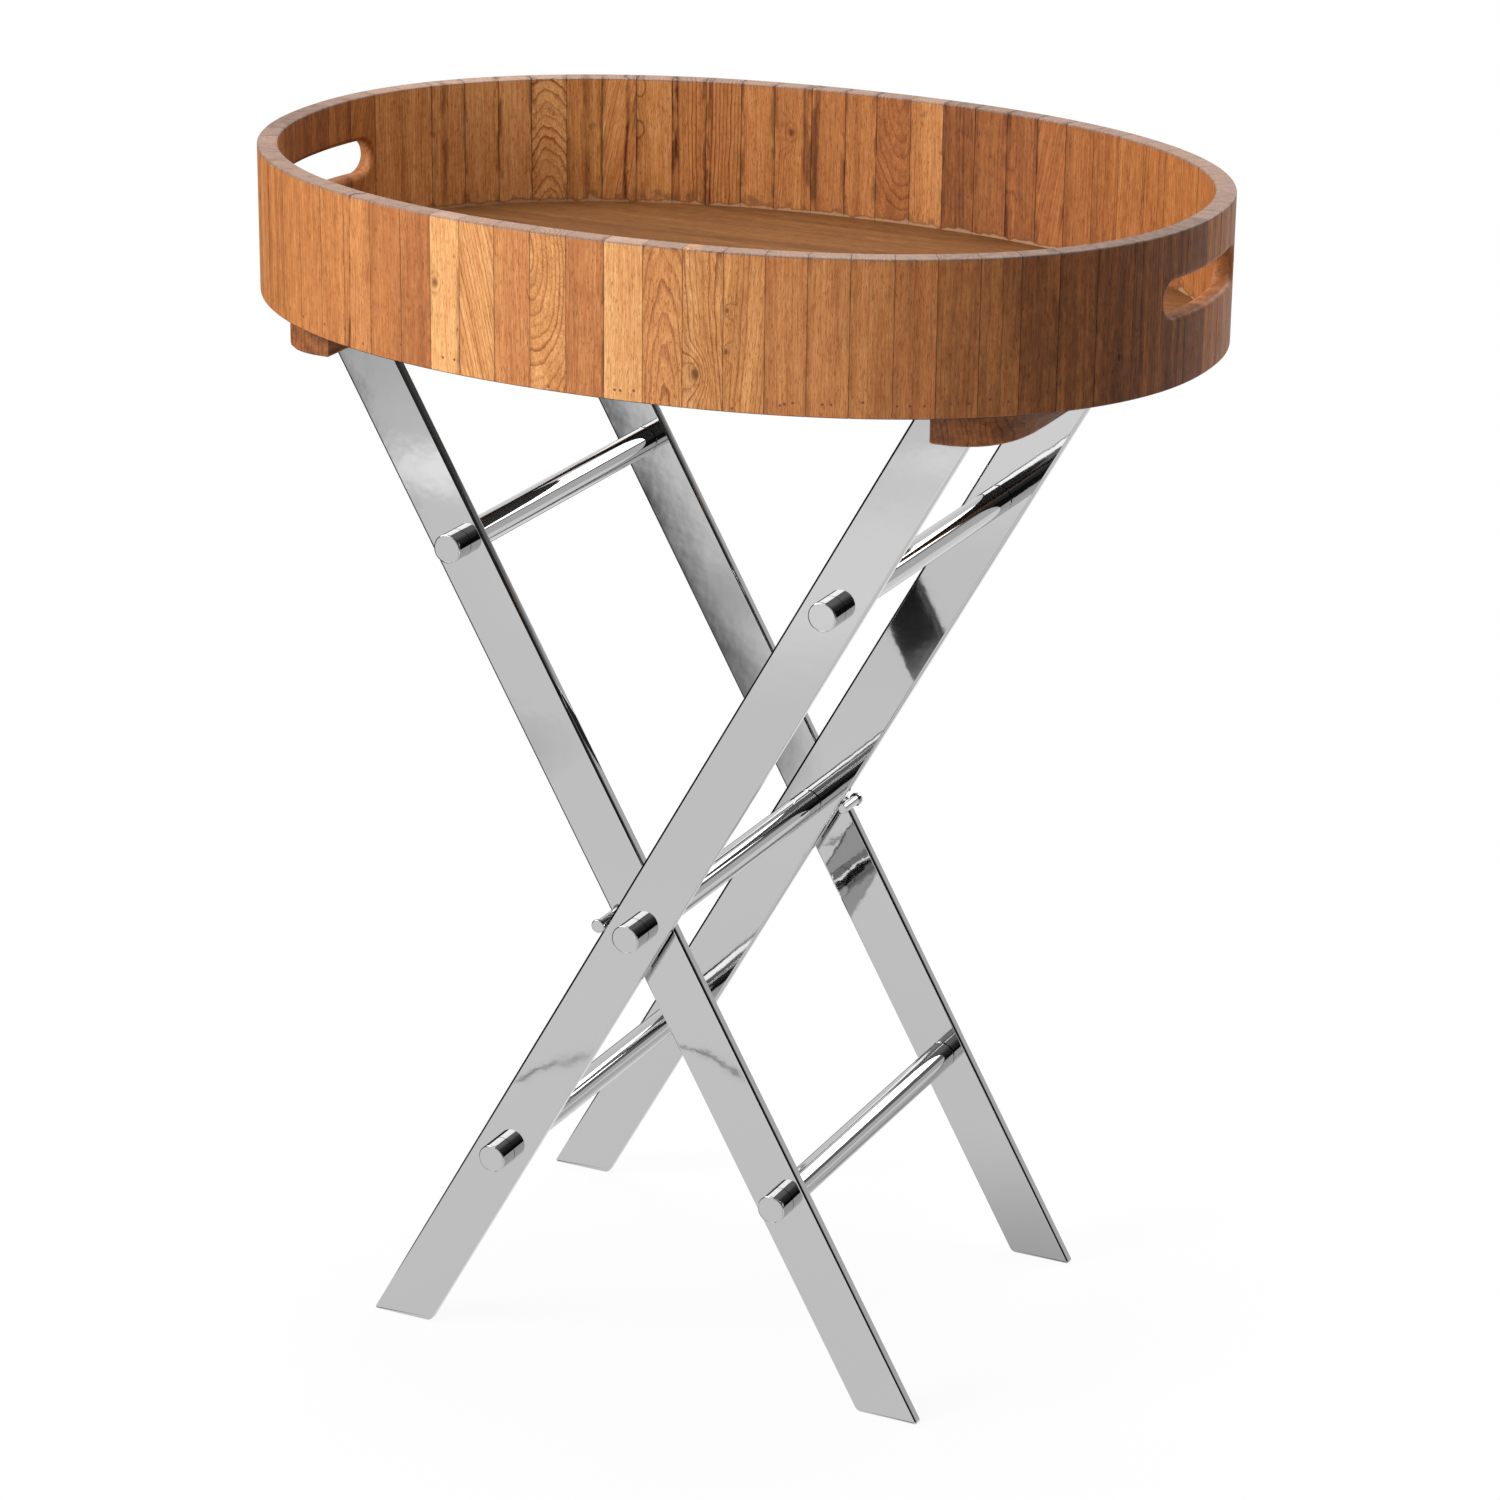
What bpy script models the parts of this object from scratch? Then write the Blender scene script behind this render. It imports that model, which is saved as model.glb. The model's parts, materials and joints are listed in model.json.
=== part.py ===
# A tray table: an oval tray of upright wooden staves on a folding crossed stand of flat bars.
# Lengths are in metres, +Z is up, the floor is z = 0 and the origin lies under the middle of the tray.
# Two frames cross at a pivot rod. Frame A stands at -X and reaches +X, and frame B is its mirror image.
# Seen from the front (-Y), frame A has the outer bar in front and the inner bar behind, frame B the reverse.

import math

import bmesh
import bpy
import numpy as np
from mathutils import Matrix, Vector

# The flat bars of the stand, whose tops end this far in from the tray's ends
BAR_WIDTH = 0.040
BAR_THICKNESS = 0.008
BAR_EDGE_RADIUS = 0.0012
BAR_CORNER_RADIUS = 0.0035
BAR_GAP = 0.0065
STAND_DEPTH = 0.298
STAND_HEIGHT = 0.7277
PIVOT_HEIGHT = 0.330
LEG_TOP_INSET = 0.1113

# The round rods that hold each pair of bars apart, and the caps on their ends
ROD_RADIUS = 0.010
ROD_CHAMFER = 0.0005
TOP_ROD_REACH = 0.287
LOW_ROD_REACH = 0.211
SPIGOT_RADIUS = 0.005
PIVOT_SPIGOT_RADIUS = 0.006
SPIGOT_GRIP = 0.010
CAP_LENGTH = 0.015
CAP_CHAMFER = 0.0008
WASHER_RADIUS = 0.015

# The two stop pins, one in the front crossing and one in the rear one
PIN_RADIUS = 0.0035
PIN_HEAD_RADIUS = 0.0048
PIN_HEAD_LENGTH = 0.0022
PIN_CHAMFER = 0.0005

# The oval rim: a superellipse in plan, coopered from staves of one width
TRAY_LENGTH = 0.672
TRAY_WIDTH = 0.479
TRAY_EXPONENT = 2.166
RIM_HEIGHT = 0.102
RIM_WALL = 0.0138
RIM_EDGE = 0.0014
GLUE_LINE_WIDTH = 0.0008
GLUE_LINE_DEPTH = 0.0004
HANDLE_STAVES = 7
PAIRS_PER_SIDE = 14

# The hand slot through the staves at each end
HANDLE_LENGTH = 0.124
HANDLE_HEIGHT = 0.024
HANDLE_BELOW_TOP = 0.0315
HANDLE_EDGE_RADIUS = 0.004

# The floor panel, and the two battens under it that seat the leg tops
FLOOR_THICKNESS = 0.012
BATTEN_WIDTH = 0.050
BATTEN_THICKNESS = 0.020
BATTEN_OUTWARD_SHIFT = 0.0167
BATTEN_OVERHANG = 0.023
BATTEN_END_LENGTH = 0.072
BATTEN_END_EXPONENT = 2.7
BATTEN_EDGE = 0.0012

# The countersunk screws that hold the battens
SCREW_RADIUS = 0.002
SCREW_HEAD_RADIUS = 0.004
SCREW_HEAD_LENGTH = 0.0026
SCREW_LENGTH = 0.028
SCREW_TIP_LENGTH = 0.003
SCREW_INSET = 0.018

# Clearances: between pieces that touch, around a leg top in its slot, and past a surface for a cut
SEAT_GAP = 0.0003
SLOT_GAP = 0.0009
SLOT_END_GAP = 0.0016
CUT_OVERRUN = 0.002

# How finely round shapes are divided
TURNED_SIDES = 24
SMALL_SIDES = 16
CORNER_STEPS = 3
STAVE_STEPS = 2
SLOT_ARC_STEPS = 6
SLOT_STRAIGHT_STEPS = 10
SLOT_EDGE_ANGLES = (math.radians(68), math.radians(34), 0)
BATTEN_END_STEPS = 9
WALK_STEPS = 7200
SMOOTH_ANGLE = math.radians(35)
MERGE_DISTANCE = 1e-7

# Places that follow from the sizes above
OUTER_FACE = STAND_DEPTH / 2
OUTER_BACK = OUTER_FACE - BAR_THICKNESS
INNER_FACE = OUTER_BACK - BAR_GAP
INNER_BACK = INNER_FACE - BAR_THICKNESS
TRAY_BOTTOM = STAND_HEIGHT + SEAT_GAP
LEG_TOP_MIDDLE = TRAY_LENGTH / 2 - LEG_TOP_INSET
LEAN = math.atan(LEG_TOP_MIDDLE / (STAND_HEIGHT - PIVOT_HEIGHT))
LEG_TOP_REACH = LEG_TOP_MIDDLE + BAR_WIDTH / 2 / math.cos(LEAN)
STAVE_COUNT = 2 * (HANDLE_STAVES + 2 * PAIRS_PER_SIDE)

# Colours as linear red, green and blue
METAL_COLOUR = (0.74, 0.74, 0.74)
FLOOR_COLOUR = (0.23, 0.10, 0.045)
BATTEN_COLOUR = (0.27, 0.12, 0.055)
SCREW_COLOUR = (0.45, 0.42, 0.34)
STAVE_COLOURS = (
    (0.50, 0.25, 0.11),
    (0.39, 0.17, 0.07),
    (0.61, 0.34, 0.16),
    (0.33, 0.13, 0.05),
    (0.46, 0.21, 0.08),
)


def clear_scene():
    for thing in list(bpy.data.objects):
        bpy.data.objects.remove(thing)


def principled(name, colour, roughness, metallic):
    """A material of one colour, with the gloss of the piece that carries it."""
    made = bpy.data.materials.new(name)
    made.use_nodes = True
    shader = made.node_tree.nodes["Principled BSDF"]
    shader.inputs["Base Color"].default_value = (*colour, 1)
    shader.inputs["Roughness"].default_value = roughness
    shader.inputs["Metallic"].default_value = metallic
    made.diffuse_color = (*colour, 1)
    return made


def metal(name):
    return principled(name + "_metal", METAL_COLOUR, 0.12, 1)


def wood(name, colour):
    return principled(name + "_wood", colour, 0.42, 0)


def empty(name, place, turn=0):
    """An empty on a joint's axis, turned about Y, that carries the pieces of one moving body."""
    made = bpy.data.objects.new(name, None)
    made.location = place
    made.rotation_euler = (0, turn, 0)
    bpy.context.scene.collection.objects.link(made)
    return made


def add_piece(name, bm, surface, parent):
    """Makes an object of a closed bmesh, with its faces outward, and hangs it on its parent."""
    bmesh.ops.recalc_face_normals(bm, faces=bm.faces[:])
    if bm.calc_volume(signed=True) < 0:
        bmesh.ops.reverse_faces(bm, faces=bm.faces[:])
    mesh = bpy.data.meshes.new(name)
    bm.to_mesh(mesh)
    bm.free()
    mesh.shade_smooth()
    mesh.set_sharp_from_angle(angle=SMOOTH_ANGLE)
    made = bpy.data.objects.new(name, mesh)
    if surface:
        mesh.materials.append(surface)
    made.parent = parent
    bpy.context.scene.collection.objects.link(made)
    return made


def cut(target, name, bm):
    """Takes the shape of a closed bmesh out of the target, which keeps it as a hidden cutter."""
    cutter = add_piece(name, bm, None, target.parent)
    cutter.hide_render = True
    cutter.display_type = "WIRE"
    modifier = target.modifiers.new(name, "BOOLEAN")
    modifier.operation = "DIFFERENCE"
    modifier.solver = "EXACT"
    modifier.object = cutter


def turned(profile, sides, axis, centre=(0, 0, 0)):
    """A turned piece: the closed profile of (radius, place along the axis) spun about that axis."""
    bm = bmesh.new()
    across = Vector((1, 0, 0))
    points = [bm.verts.new(across * radius + Vector(axis) * place) for radius, place in profile]
    edges = [bm.edges.new((a, b)) for a, b in zip(points, points[1:] + points[:1])]
    bmesh.ops.spin(
        bm,
        geom=points + edges,
        cent=(0, 0, 0),
        axis=axis,
        angle=math.tau,
        steps=sides,
        use_merge=True,
    )
    bmesh.ops.remove_doubles(bm, verts=bm.verts[:], dist=MERGE_DISTANCE)
    on_axis = [edge for edge in bm.edges if not edge.link_faces]
    bmesh.ops.delete(bm, geom=on_axis, context="EDGES")
    bmesh.ops.translate(bm, verts=bm.verts[:], vec=centre)
    return bm


def rounded(corners, radius, steps):
    """A closed outline with each corner replaced by an arc of the given radius."""
    outline = []
    for i, corner in enumerate(corners):
        before = (corners[i - 1] - corner).normalized()
        after = (corners[(i + 1) % len(corners)] - corner).normalized()
        half = before.angle(after) / 2
        centre = corner + (before + after).normalized() * radius / math.sin(half)
        start = corner + before * radius / math.tan(half) - centre
        end = corner + after * radius / math.tan(half) - centre
        sweep = math.pi - 2 * half
        for step in range(steps + 1):
            share = step / steps
            weight = math.sin((1 - share) * sweep), math.sin(share * sweep)
            outline.append(centre + (start * weight[0] + end * weight[1]) / math.sin(sweep))
    return outline


def plate(outline, low, high, up):
    """A flat outline of two-part points, drawn out from low to high along Y or Z."""
    bm = bmesh.new()
    if up == "Y":
        points = [bm.verts.new((a, low, b)) for a, b in outline]
    else:
        points = [bm.verts.new((a, b, low)) for a, b in outline]
    face = bm.faces.new(points)
    drawn = bmesh.ops.extrude_face_region(bm, geom=[face])["geom"]
    far = [item for item in drawn if isinstance(item, bmesh.types.BMVert)]
    travel = (0, high - low, 0) if up == "Y" else (0, 0, high - low)
    bmesh.ops.translate(bm, verts=far, vec=travel)
    return bm


def soften_rims(bm, radius, segments, axis):
    """Bevels the edges around a plate's two faces, whose normals lie along the axis."""
    bm.normal_update()
    flat = {face for face in bm.faces if abs(face.normal[axis]) > math.cos(SMOOTH_ANGLE)}
    rims = [edge for edge in bm.edges if len(flat.intersection(edge.link_faces)) == 1]
    bmesh.ops.bevel(bm, geom=rims, offset=radius, segments=segments, profile=0.5, affect="EDGES")


def flat_cap(bm, ring):
    """One face over a ring that lies in a plane."""
    bm.faces.new(ring)


def ladder_cap(bm, ring):
    """Strips across a curved ring, whose points mirror each other from the first one on."""
    half = len(ring) // 2
    for i in range(half):
        strip = [ring[i], ring[i + 1], ring[-i - 1], ring[-i]]
        bm.faces.new(list(dict.fromkeys(strip)))


def loft(rings, cap=flat_cap):
    """A closed body through rings of equally many points, with both ends capped."""
    bm = bmesh.new()
    made = [[bm.verts.new(point) for point in ring] for ring in rings]
    for near, far in zip(made, made[1:]):
        for i in range(len(near)):
            j = (i + 1) % len(near)
            bm.faces.new((near[i], near[j], far[j], far[i]))
    cap(bm, made[0])
    cap(bm, made[-1])
    return bm


def bar_outline(lean):
    """A leaning bar, drawn along its own length, with both ends cut level and their corners eased."""
    half = BAR_WIDTH / 2
    foot = -PIVOT_HEIGHT
    top = STAND_HEIGHT - PIVOT_HEIGHT
    corners = [
        Vector((across, (level + across * math.sin(lean)) / math.cos(lean)))
        for level, across in ((foot, -half), (foot, half), (top, half), (top, -half))
    ]
    return rounded(corners, BAR_CORNER_RADIUS, CORNER_STEPS)


def add_bar(name, frame, lean, low, high):
    """One flat bar with its bores for the pivot and for both rods."""
    bm = plate(bar_outline(lean), low, high, "Y")
    soften_rims(bm, BAR_EDGE_RADIUS, 2, 1)
    bar = add_piece(name, bm, metal(name), frame)
    bores = (
        ("pivot", 0, PIVOT_SPIGOT_RADIUS),
        ("top", TOP_ROD_REACH, SPIGOT_RADIUS),
        ("low", -LOW_ROD_REACH, SPIGOT_RADIUS),
    )
    for bore, reach, radius in bores:
        wall = radius + SEAT_GAP
        profile = (
            (0, low - CUT_OVERRUN),
            (wall, low - CUT_OVERRUN),
            (wall, high + CUT_OVERRUN),
            (0, high + CUT_OVERRUN),
        )
        cut(bar, f"{name}_{bore}_bore", turned(profile, TURNED_SIDES, (0, 1, 0), (0, 0, reach)))


def add_rod(name, frame, reach, front, rear, spigot, through):
    """A rod between two bars, stepped down at each end to a spigot that runs on into its cap."""
    low = front + SEAT_GAP
    high = rear - SEAT_GAP
    tip = SEAT_GAP + through + SEAT_GAP + SPIGOT_GRIP
    profile = (
        (0, low - tip),
        (spigot, low - tip),
        (spigot, low),
        (ROD_RADIUS - ROD_CHAMFER, low),
        (ROD_RADIUS, low + ROD_CHAMFER),
        (ROD_RADIUS, high - ROD_CHAMFER),
        (ROD_RADIUS - ROD_CHAMFER, high),
        (spigot, high),
        (spigot, high + tip),
        (0, high + tip),
    )
    bm = turned(profile, TURNED_SIDES, (0, 1, 0), (0, 0, reach))
    add_piece(name, bm, metal(name), frame)


def add_cap(name, frame, reach, face, side, spigot):
    """A plain round cap on a bar's face, bored from behind for the rod's spigot."""
    seat = face + SEAT_GAP
    bottom = seat + SPIGOT_GRIP + SEAT_GAP
    end = seat + CAP_LENGTH
    bore = spigot + SEAT_GAP
    profile = (
        (bore, seat),
        (ROD_RADIUS, seat),
        (ROD_RADIUS, end - CAP_CHAMFER),
        (ROD_RADIUS - CAP_CHAMFER, end),
        (0, end),
        (0, bottom),
        (bore, bottom),
    )
    bm = turned(profile, TURNED_SIDES, (0, side, 0), (0, 0, reach))
    add_piece(name, bm, metal(name), frame)


def add_washer(name, frame, side):
    """The spacer on the pivot rod's spigot that keeps two crossing bars apart."""
    low = INNER_FACE + SEAT_GAP
    high = OUTER_BACK - SEAT_GAP
    bore = PIVOT_SPIGOT_RADIUS + SEAT_GAP
    profile = ((bore, low), (WASHER_RADIUS, low), (WASHER_RADIUS, high), (bore, high))
    add_piece(name, turned(profile, TURNED_SIDES, (0, side, 0)), metal(name), frame)


def add_stop_pin(name, frame, across, side):
    """A headed pin on a bar's edge, which the other frame's bar meets when the stand is fully open."""
    offset = BAR_WIDTH / 2 + PIN_RADIUS + SEAT_GAP
    head = OUTER_FACE + SEAT_GAP
    end = head + PIN_HEAD_LENGTH
    profile = (
        (0, INNER_BACK),
        (PIN_RADIUS, INNER_BACK),
        (PIN_RADIUS, head),
        (PIN_HEAD_RADIUS, head),
        (PIN_HEAD_RADIUS, end - PIN_CHAMFER),
        (PIN_HEAD_RADIUS - PIN_CHAMFER, end),
        (0, end),
    )
    place = (across * offset, 0, offset * math.tan(LEAN))
    add_piece(name, turned(profile, SMALL_SIDES, (0, side, 0), place), metal(name), frame)


def add_frame(letter, frame, lean, front_faces, rear_faces):
    """The two bars, two rods and four caps of one frame, from its bars' outer and inner faces."""
    front_out, front_in = front_faces
    rear_out, rear_in = rear_faces
    name = f"frame_{letter}_"
    add_bar(name + "front_bar", frame, lean, -front_out, -front_in)
    add_bar(name + "rear_bar", frame, lean, rear_in, rear_out)
    for level, reach in (("top", TOP_ROD_REACH), ("low", -LOW_ROD_REACH)):
        rod = name + level
        add_rod(rod + "_rod", frame, reach, -front_in, rear_in, SPIGOT_RADIUS, BAR_THICKNESS)
        add_cap(rod + "_front_cap", frame, reach, front_out, -1, SPIGOT_RADIUS)
        add_cap(rod + "_rear_cap", frame, reach, rear_out, 1, SPIGOT_RADIUS)


def add_stand():
    """Both frames, the pivot that joins them and the stop pins that hold them open."""
    outer = (OUTER_FACE, OUTER_BACK)
    inner = (INNER_FACE, INNER_BACK)
    pivot = (0, 0, PIVOT_HEIGHT)
    frame_a = empty("frame_a_axis", pivot, LEAN)
    frame_b = empty("frame_b_axis", pivot, -LEAN)
    add_frame("a", frame_a, LEAN, outer, inner)
    add_frame("b", frame_b, -LEAN, inner, outer)
    through = 2 * BAR_THICKNESS + BAR_GAP
    add_rod("pivot_rod", frame_a, 0, -INNER_BACK, INNER_BACK, PIVOT_SPIGOT_RADIUS, through)
    for end, side in (("front", -1), ("rear", 1)):
        add_cap(f"pivot_{end}_cap", frame_a, 0, OUTER_FACE, side, PIVOT_SPIGOT_RADIUS)
        add_washer(f"pivot_{end}_washer", frame_a, side)
    add_stop_pin("front_stop_pin", frame_b, -1, -1)
    add_stop_pin("rear_stop_pin", frame_a, 1, 1)


def outline_walk():
    """Distances round the rim's outer outline from its +X end, with the points that they reach."""
    angles = np.linspace(0, math.tau, WALK_STEPS + 1)
    power = 2 / TRAY_EXPONENT
    x = TRAY_LENGTH / 2 * np.sign(np.cos(angles)) * np.abs(np.cos(angles)) ** power
    y = TRAY_WIDTH / 2 * np.sign(np.sin(angles)) * np.abs(np.sin(angles)) ** power
    walked = np.concatenate(([0], np.cumsum(np.hypot(np.diff(x), np.diff(y)))))
    return walked, x, y


WALKED, WALK_X, WALK_Y = outline_walk()
PERIMETER = float(WALKED[-1])
STAVE_WIDTH = PERIMETER / STAVE_COUNT


def wall_point(distance, depth, height):
    """The point that lies this far round the outline, this deep into the wall and this high."""
    place = distance % PERIMETER
    x = float(np.interp(place, WALKED, WALK_X))
    y = float(np.interp(place, WALKED, WALK_Y))
    half_length = TRAY_LENGTH / 2
    half_width = TRAY_WIDTH / 2
    steepness = TRAY_EXPONENT - 1
    outward = Vector(
        (
            math.copysign(abs(x / half_length) ** steepness, x) / half_length,
            math.copysign(abs(y / half_width) ** steepness, y) / half_width,
        )
    ).normalized()
    return Vector((x - outward.x * depth, y - outward.y * depth, height))


def stave_ring(distance, inset):
    """The cross-section of the wall at one place, drawn in all round by the inset."""
    near = inset
    far = RIM_WALL - inset
    low = inset
    high = RIM_HEIGHT - inset
    profile = (
        (near, low + RIM_EDGE),
        (near, high - RIM_EDGE),
        (near + RIM_EDGE, high),
        (far - RIM_EDGE, high),
        (far, high - RIM_EDGE),
        (far, low + RIM_EDGE),
        (far - RIM_EDGE, low),
        (near + RIM_EDGE, low),
    )
    return [wall_point(distance, depth, height) for depth, height in profile]


def stave_run(first, count):
    """Neighbouring staves glued side by side, with a fine groove along each glue line."""
    rings = []
    for stave in range(first, first + count):
        start = (stave - 0.5) * STAVE_WIDTH
        end = start + STAVE_WIDTH
        opens = SEAT_GAP / 2 if stave == first else GLUE_LINE_WIDTH / 2
        closes = SEAT_GAP / 2 if stave == first + count - 1 else GLUE_LINE_WIDTH / 2
        if stave > first:
            rings.append(stave_ring(start, GLUE_LINE_DEPTH))
        for step in range(STAVE_STEPS + 1):
            share = step / STAVE_STEPS
            distance = (start + opens) * (1 - share) + (end - closes) * share
            rings.append(stave_ring(distance, 0))
    return loft(rings)


def slot_ring(middle, depth, grow):
    """The hand slot's outline at one depth in the wall, from the middle of a round end on."""
    radius = HANDLE_HEIGHT / 2 + grow
    straight = (HANDLE_LENGTH - HANDLE_HEIGHT) / 2
    level = RIM_HEIGHT - HANDLE_BELOW_TOP - HANDLE_HEIGHT / 2
    ring = []
    for side in (1, -1):
        for step in range(SLOT_ARC_STEPS + 1):
            angle = math.pi * (step / SLOT_ARC_STEPS - 0.5)
            along = straight + radius * math.cos(angle)
            ring.append((side * along, side * radius * math.sin(angle)))
        for step in range(1, SLOT_STRAIGHT_STEPS):
            along = straight * (1 - 2 * step / SLOT_STRAIGHT_STEPS)
            ring.append((side * along, side * radius))
    first = SLOT_ARC_STEPS // 2
    ring = ring[first:] + ring[:first]
    return [wall_point(middle + along, depth, level + rise) for along, rise in ring]


def slot_cutter(middle):
    """The hand slot with its edges rounded where it meets both faces of the wall."""
    radius = HANDLE_EDGE_RADIUS
    edge = [
        (radius * (1 - math.sin(angle)), radius * (1 - math.cos(angle)))
        for angle in SLOT_EDGE_ANGLES
    ]
    depth, grow = edge[0]
    flare = grow + (depth + CUT_OVERRUN) * math.tan(SLOT_EDGE_ANGLES[0])
    edge.insert(0, (-CUT_OVERRUN, flare))
    rings = [slot_ring(middle, depth, grow) for depth, grow in edge]
    rings += [slot_ring(middle, RIM_WALL - depth, grow) for depth, grow in reversed(edge)]
    return loft(rings, ladder_cap)


def stave_colour(number):
    return STAVE_COLOURS[number * 3 % len(STAVE_COLOURS)]


def add_rim(tray):
    """The staves: a slotted run at each end, and pairs between them along both sides."""
    reach = HANDLE_STAVES // 2
    half = STAVE_COUNT // 2
    for number, (end, middle) in enumerate((("right", 0), ("left", half))):
        name = f"{end}_handle_staves"
        bm = stave_run(middle - reach, HANDLE_STAVES)
        run = add_piece(name, bm, wood(name, stave_colour(number)), tray)
        cut(run, f"{end}_hand_slot", slot_cutter(middle * STAVE_WIDTH))
    for pair in range(2 * PAIRS_PER_SIDE):
        side, place = divmod(pair, PAIRS_PER_SIDE)
        first = side * half + reach + 1 + 2 * place
        name = f"stave_pair_{pair + 1:02d}"
        add_piece(name, stave_run(first, 2), wood(name, stave_colour(pair)), tray)


def screw_profile(grow, head_end):
    """A countersunk screw from its head up, or the hole that clears it."""
    tip = SCREW_LENGTH + grow
    radius = SCREW_RADIUS + grow
    head = SCREW_HEAD_RADIUS + grow
    return (
        (0, head_end),
        (head, head_end),
        (head, grow),
        (radius, SCREW_HEAD_LENGTH + grow),
        (radius, tip - SCREW_TIP_LENGTH),
        (0, tip),
    )


def screw_places():
    """The middle of each batten's width, just inside its two slots, at the underside of the wood."""
    along = LEG_TOP_MIDDLE + BATTEN_OUTWARD_SHIFT
    across = INNER_BACK - SCREW_INSET
    low = -SEAT_GAP - BATTEN_THICKNESS
    return {(end, row): (end * along, row * across, low) for end in (1, -1) for row in (-1, 1)}


def batten_outline(side):
    """A batten from above: straight towards the tray's middle, and round at both outer corners."""
    middle = LEG_TOP_MIDDLE + BATTEN_OUTWARD_SHIFT
    inner = middle - BATTEN_WIDTH / 2
    half_length = OUTER_FACE + BATTEN_OVERHANG
    straight = half_length - BATTEN_END_LENGTH
    power = 2 / BATTEN_END_EXPONENT
    quarter = [
        (
            inner + BATTEN_WIDTH * math.cos(math.pi / 2 * step / BATTEN_END_STEPS) ** power,
            straight + BATTEN_END_LENGTH * math.sin(math.pi / 2 * step / BATTEN_END_STEPS) ** power,
        )
        for step in range(BATTEN_END_STEPS)
    ]
    quarter.append((inner, half_length))
    points = [(x, -y) for x, y in reversed(quarter)] + quarter
    return [(side * x, y) for x, y in points]


def box(low, high):
    """A closed box between two opposite corners."""
    bm = bmesh.new()
    bmesh.ops.create_cube(bm, size=1)
    size = Vector(high) - Vector(low)
    middle = (Vector(high) + Vector(low)) / 2
    matrix = Matrix.Translation(middle) @ Matrix.Diagonal((*size, 1))
    bmesh.ops.transform(bm, matrix=matrix, verts=bm.verts[:])
    return bm


def add_batten(end, side, bars, tray):
    """A batten under the floor, with an open slot for each of the two leg tops at its end."""
    name = f"{end}_batten"
    high = -SEAT_GAP
    low = high - BATTEN_THICKNESS
    bm = plate(batten_outline(side), low, high, "Z")
    soften_rims(bm, BATTEN_EDGE, 1, 2)
    batten = add_piece(name, bm, wood(name, BATTEN_COLOUR), tray)
    inner = LEG_TOP_MIDDLE + BATTEN_OUTWARD_SHIFT - BATTEN_WIDTH / 2 - CUT_OVERRUN
    outer = LEG_TOP_REACH + SLOT_END_GAP
    for bar, (near, far) in bars.items():
        x = sorted((side * inner, side * outer))
        y = sorted((near, far))
        slot = box(
            (x[0], y[0] - SLOT_GAP, low - CUT_OVERRUN), (x[1], y[1] + SLOT_GAP, high + CUT_OVERRUN)
        )
        cut(batten, f"{name}_{bar}_slot", slot)
    return batten


def add_screws(floor, battens, tray):
    """The screws up through the battens into the floor, and their holes."""
    for (side, row), place in screw_places().items():
        end = "right" if side > 0 else "left"
        name = f"{end}_batten_{'front' if row < 0 else 'rear'}_screw"
        body = turned(screw_profile(0, 0), SMALL_SIDES, (0, 0, 1), place)
        add_piece(name, body, principled(name + "_metal", SCREW_COLOUR, 0.4, 1), tray)
        for target in (battens[side], floor):
            hole = turned(screw_profile(SEAT_GAP, -CUT_OVERRUN), SMALL_SIDES, (0, 0, 1), place)
            cut(target, f"{name}_hole_in_{target.name}", hole)


def add_tray():
    """The stave rim, the floor inside it and the battens under it, all on one empty."""
    tray = empty("tray_seat", (0, 0, TRAY_BOTTOM))
    add_rim(tray)
    inside = RIM_WALL + SEAT_GAP
    steps = STAVE_COUNT * STAVE_STEPS
    outline = [wall_point(step / steps * PERIMETER, inside, 0).xy for step in range(steps)]
    bm = plate(outline, 0, FLOOR_THICKNESS, "Z")
    floor = add_piece("tray_floor", bm, wood("tray_floor", FLOOR_COLOUR), tray)
    outer = (OUTER_BACK, OUTER_FACE)
    inner = (INNER_BACK, INNER_FACE)
    frame_a_bars = {"front": (-outer[0], -outer[1]), "rear": inner}
    frame_b_bars = {"front": (-inner[0], -inner[1]), "rear": outer}
    battens = {
        1: add_batten("right", 1, frame_a_bars, tray),
        -1: add_batten("left", -1, frame_b_bars, tray),
    }
    add_screws(floor, battens, tray)


clear_scene()
add_stand()
add_tray()
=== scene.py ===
# %% [markdown]
# A tray table: an oval tray of upright wooden staves on a folding stand of flat polished bars.
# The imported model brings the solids, the joints and every node's exact place. This script gives
# them their looks: it models the visible pieces again with finer edges, lets each one stand for
# its solid, and gives each finish a material that is worked out in nodes.

import json
import math
import random

import bmesh
import bpy
from mathutils import Matrix, Vector


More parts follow.
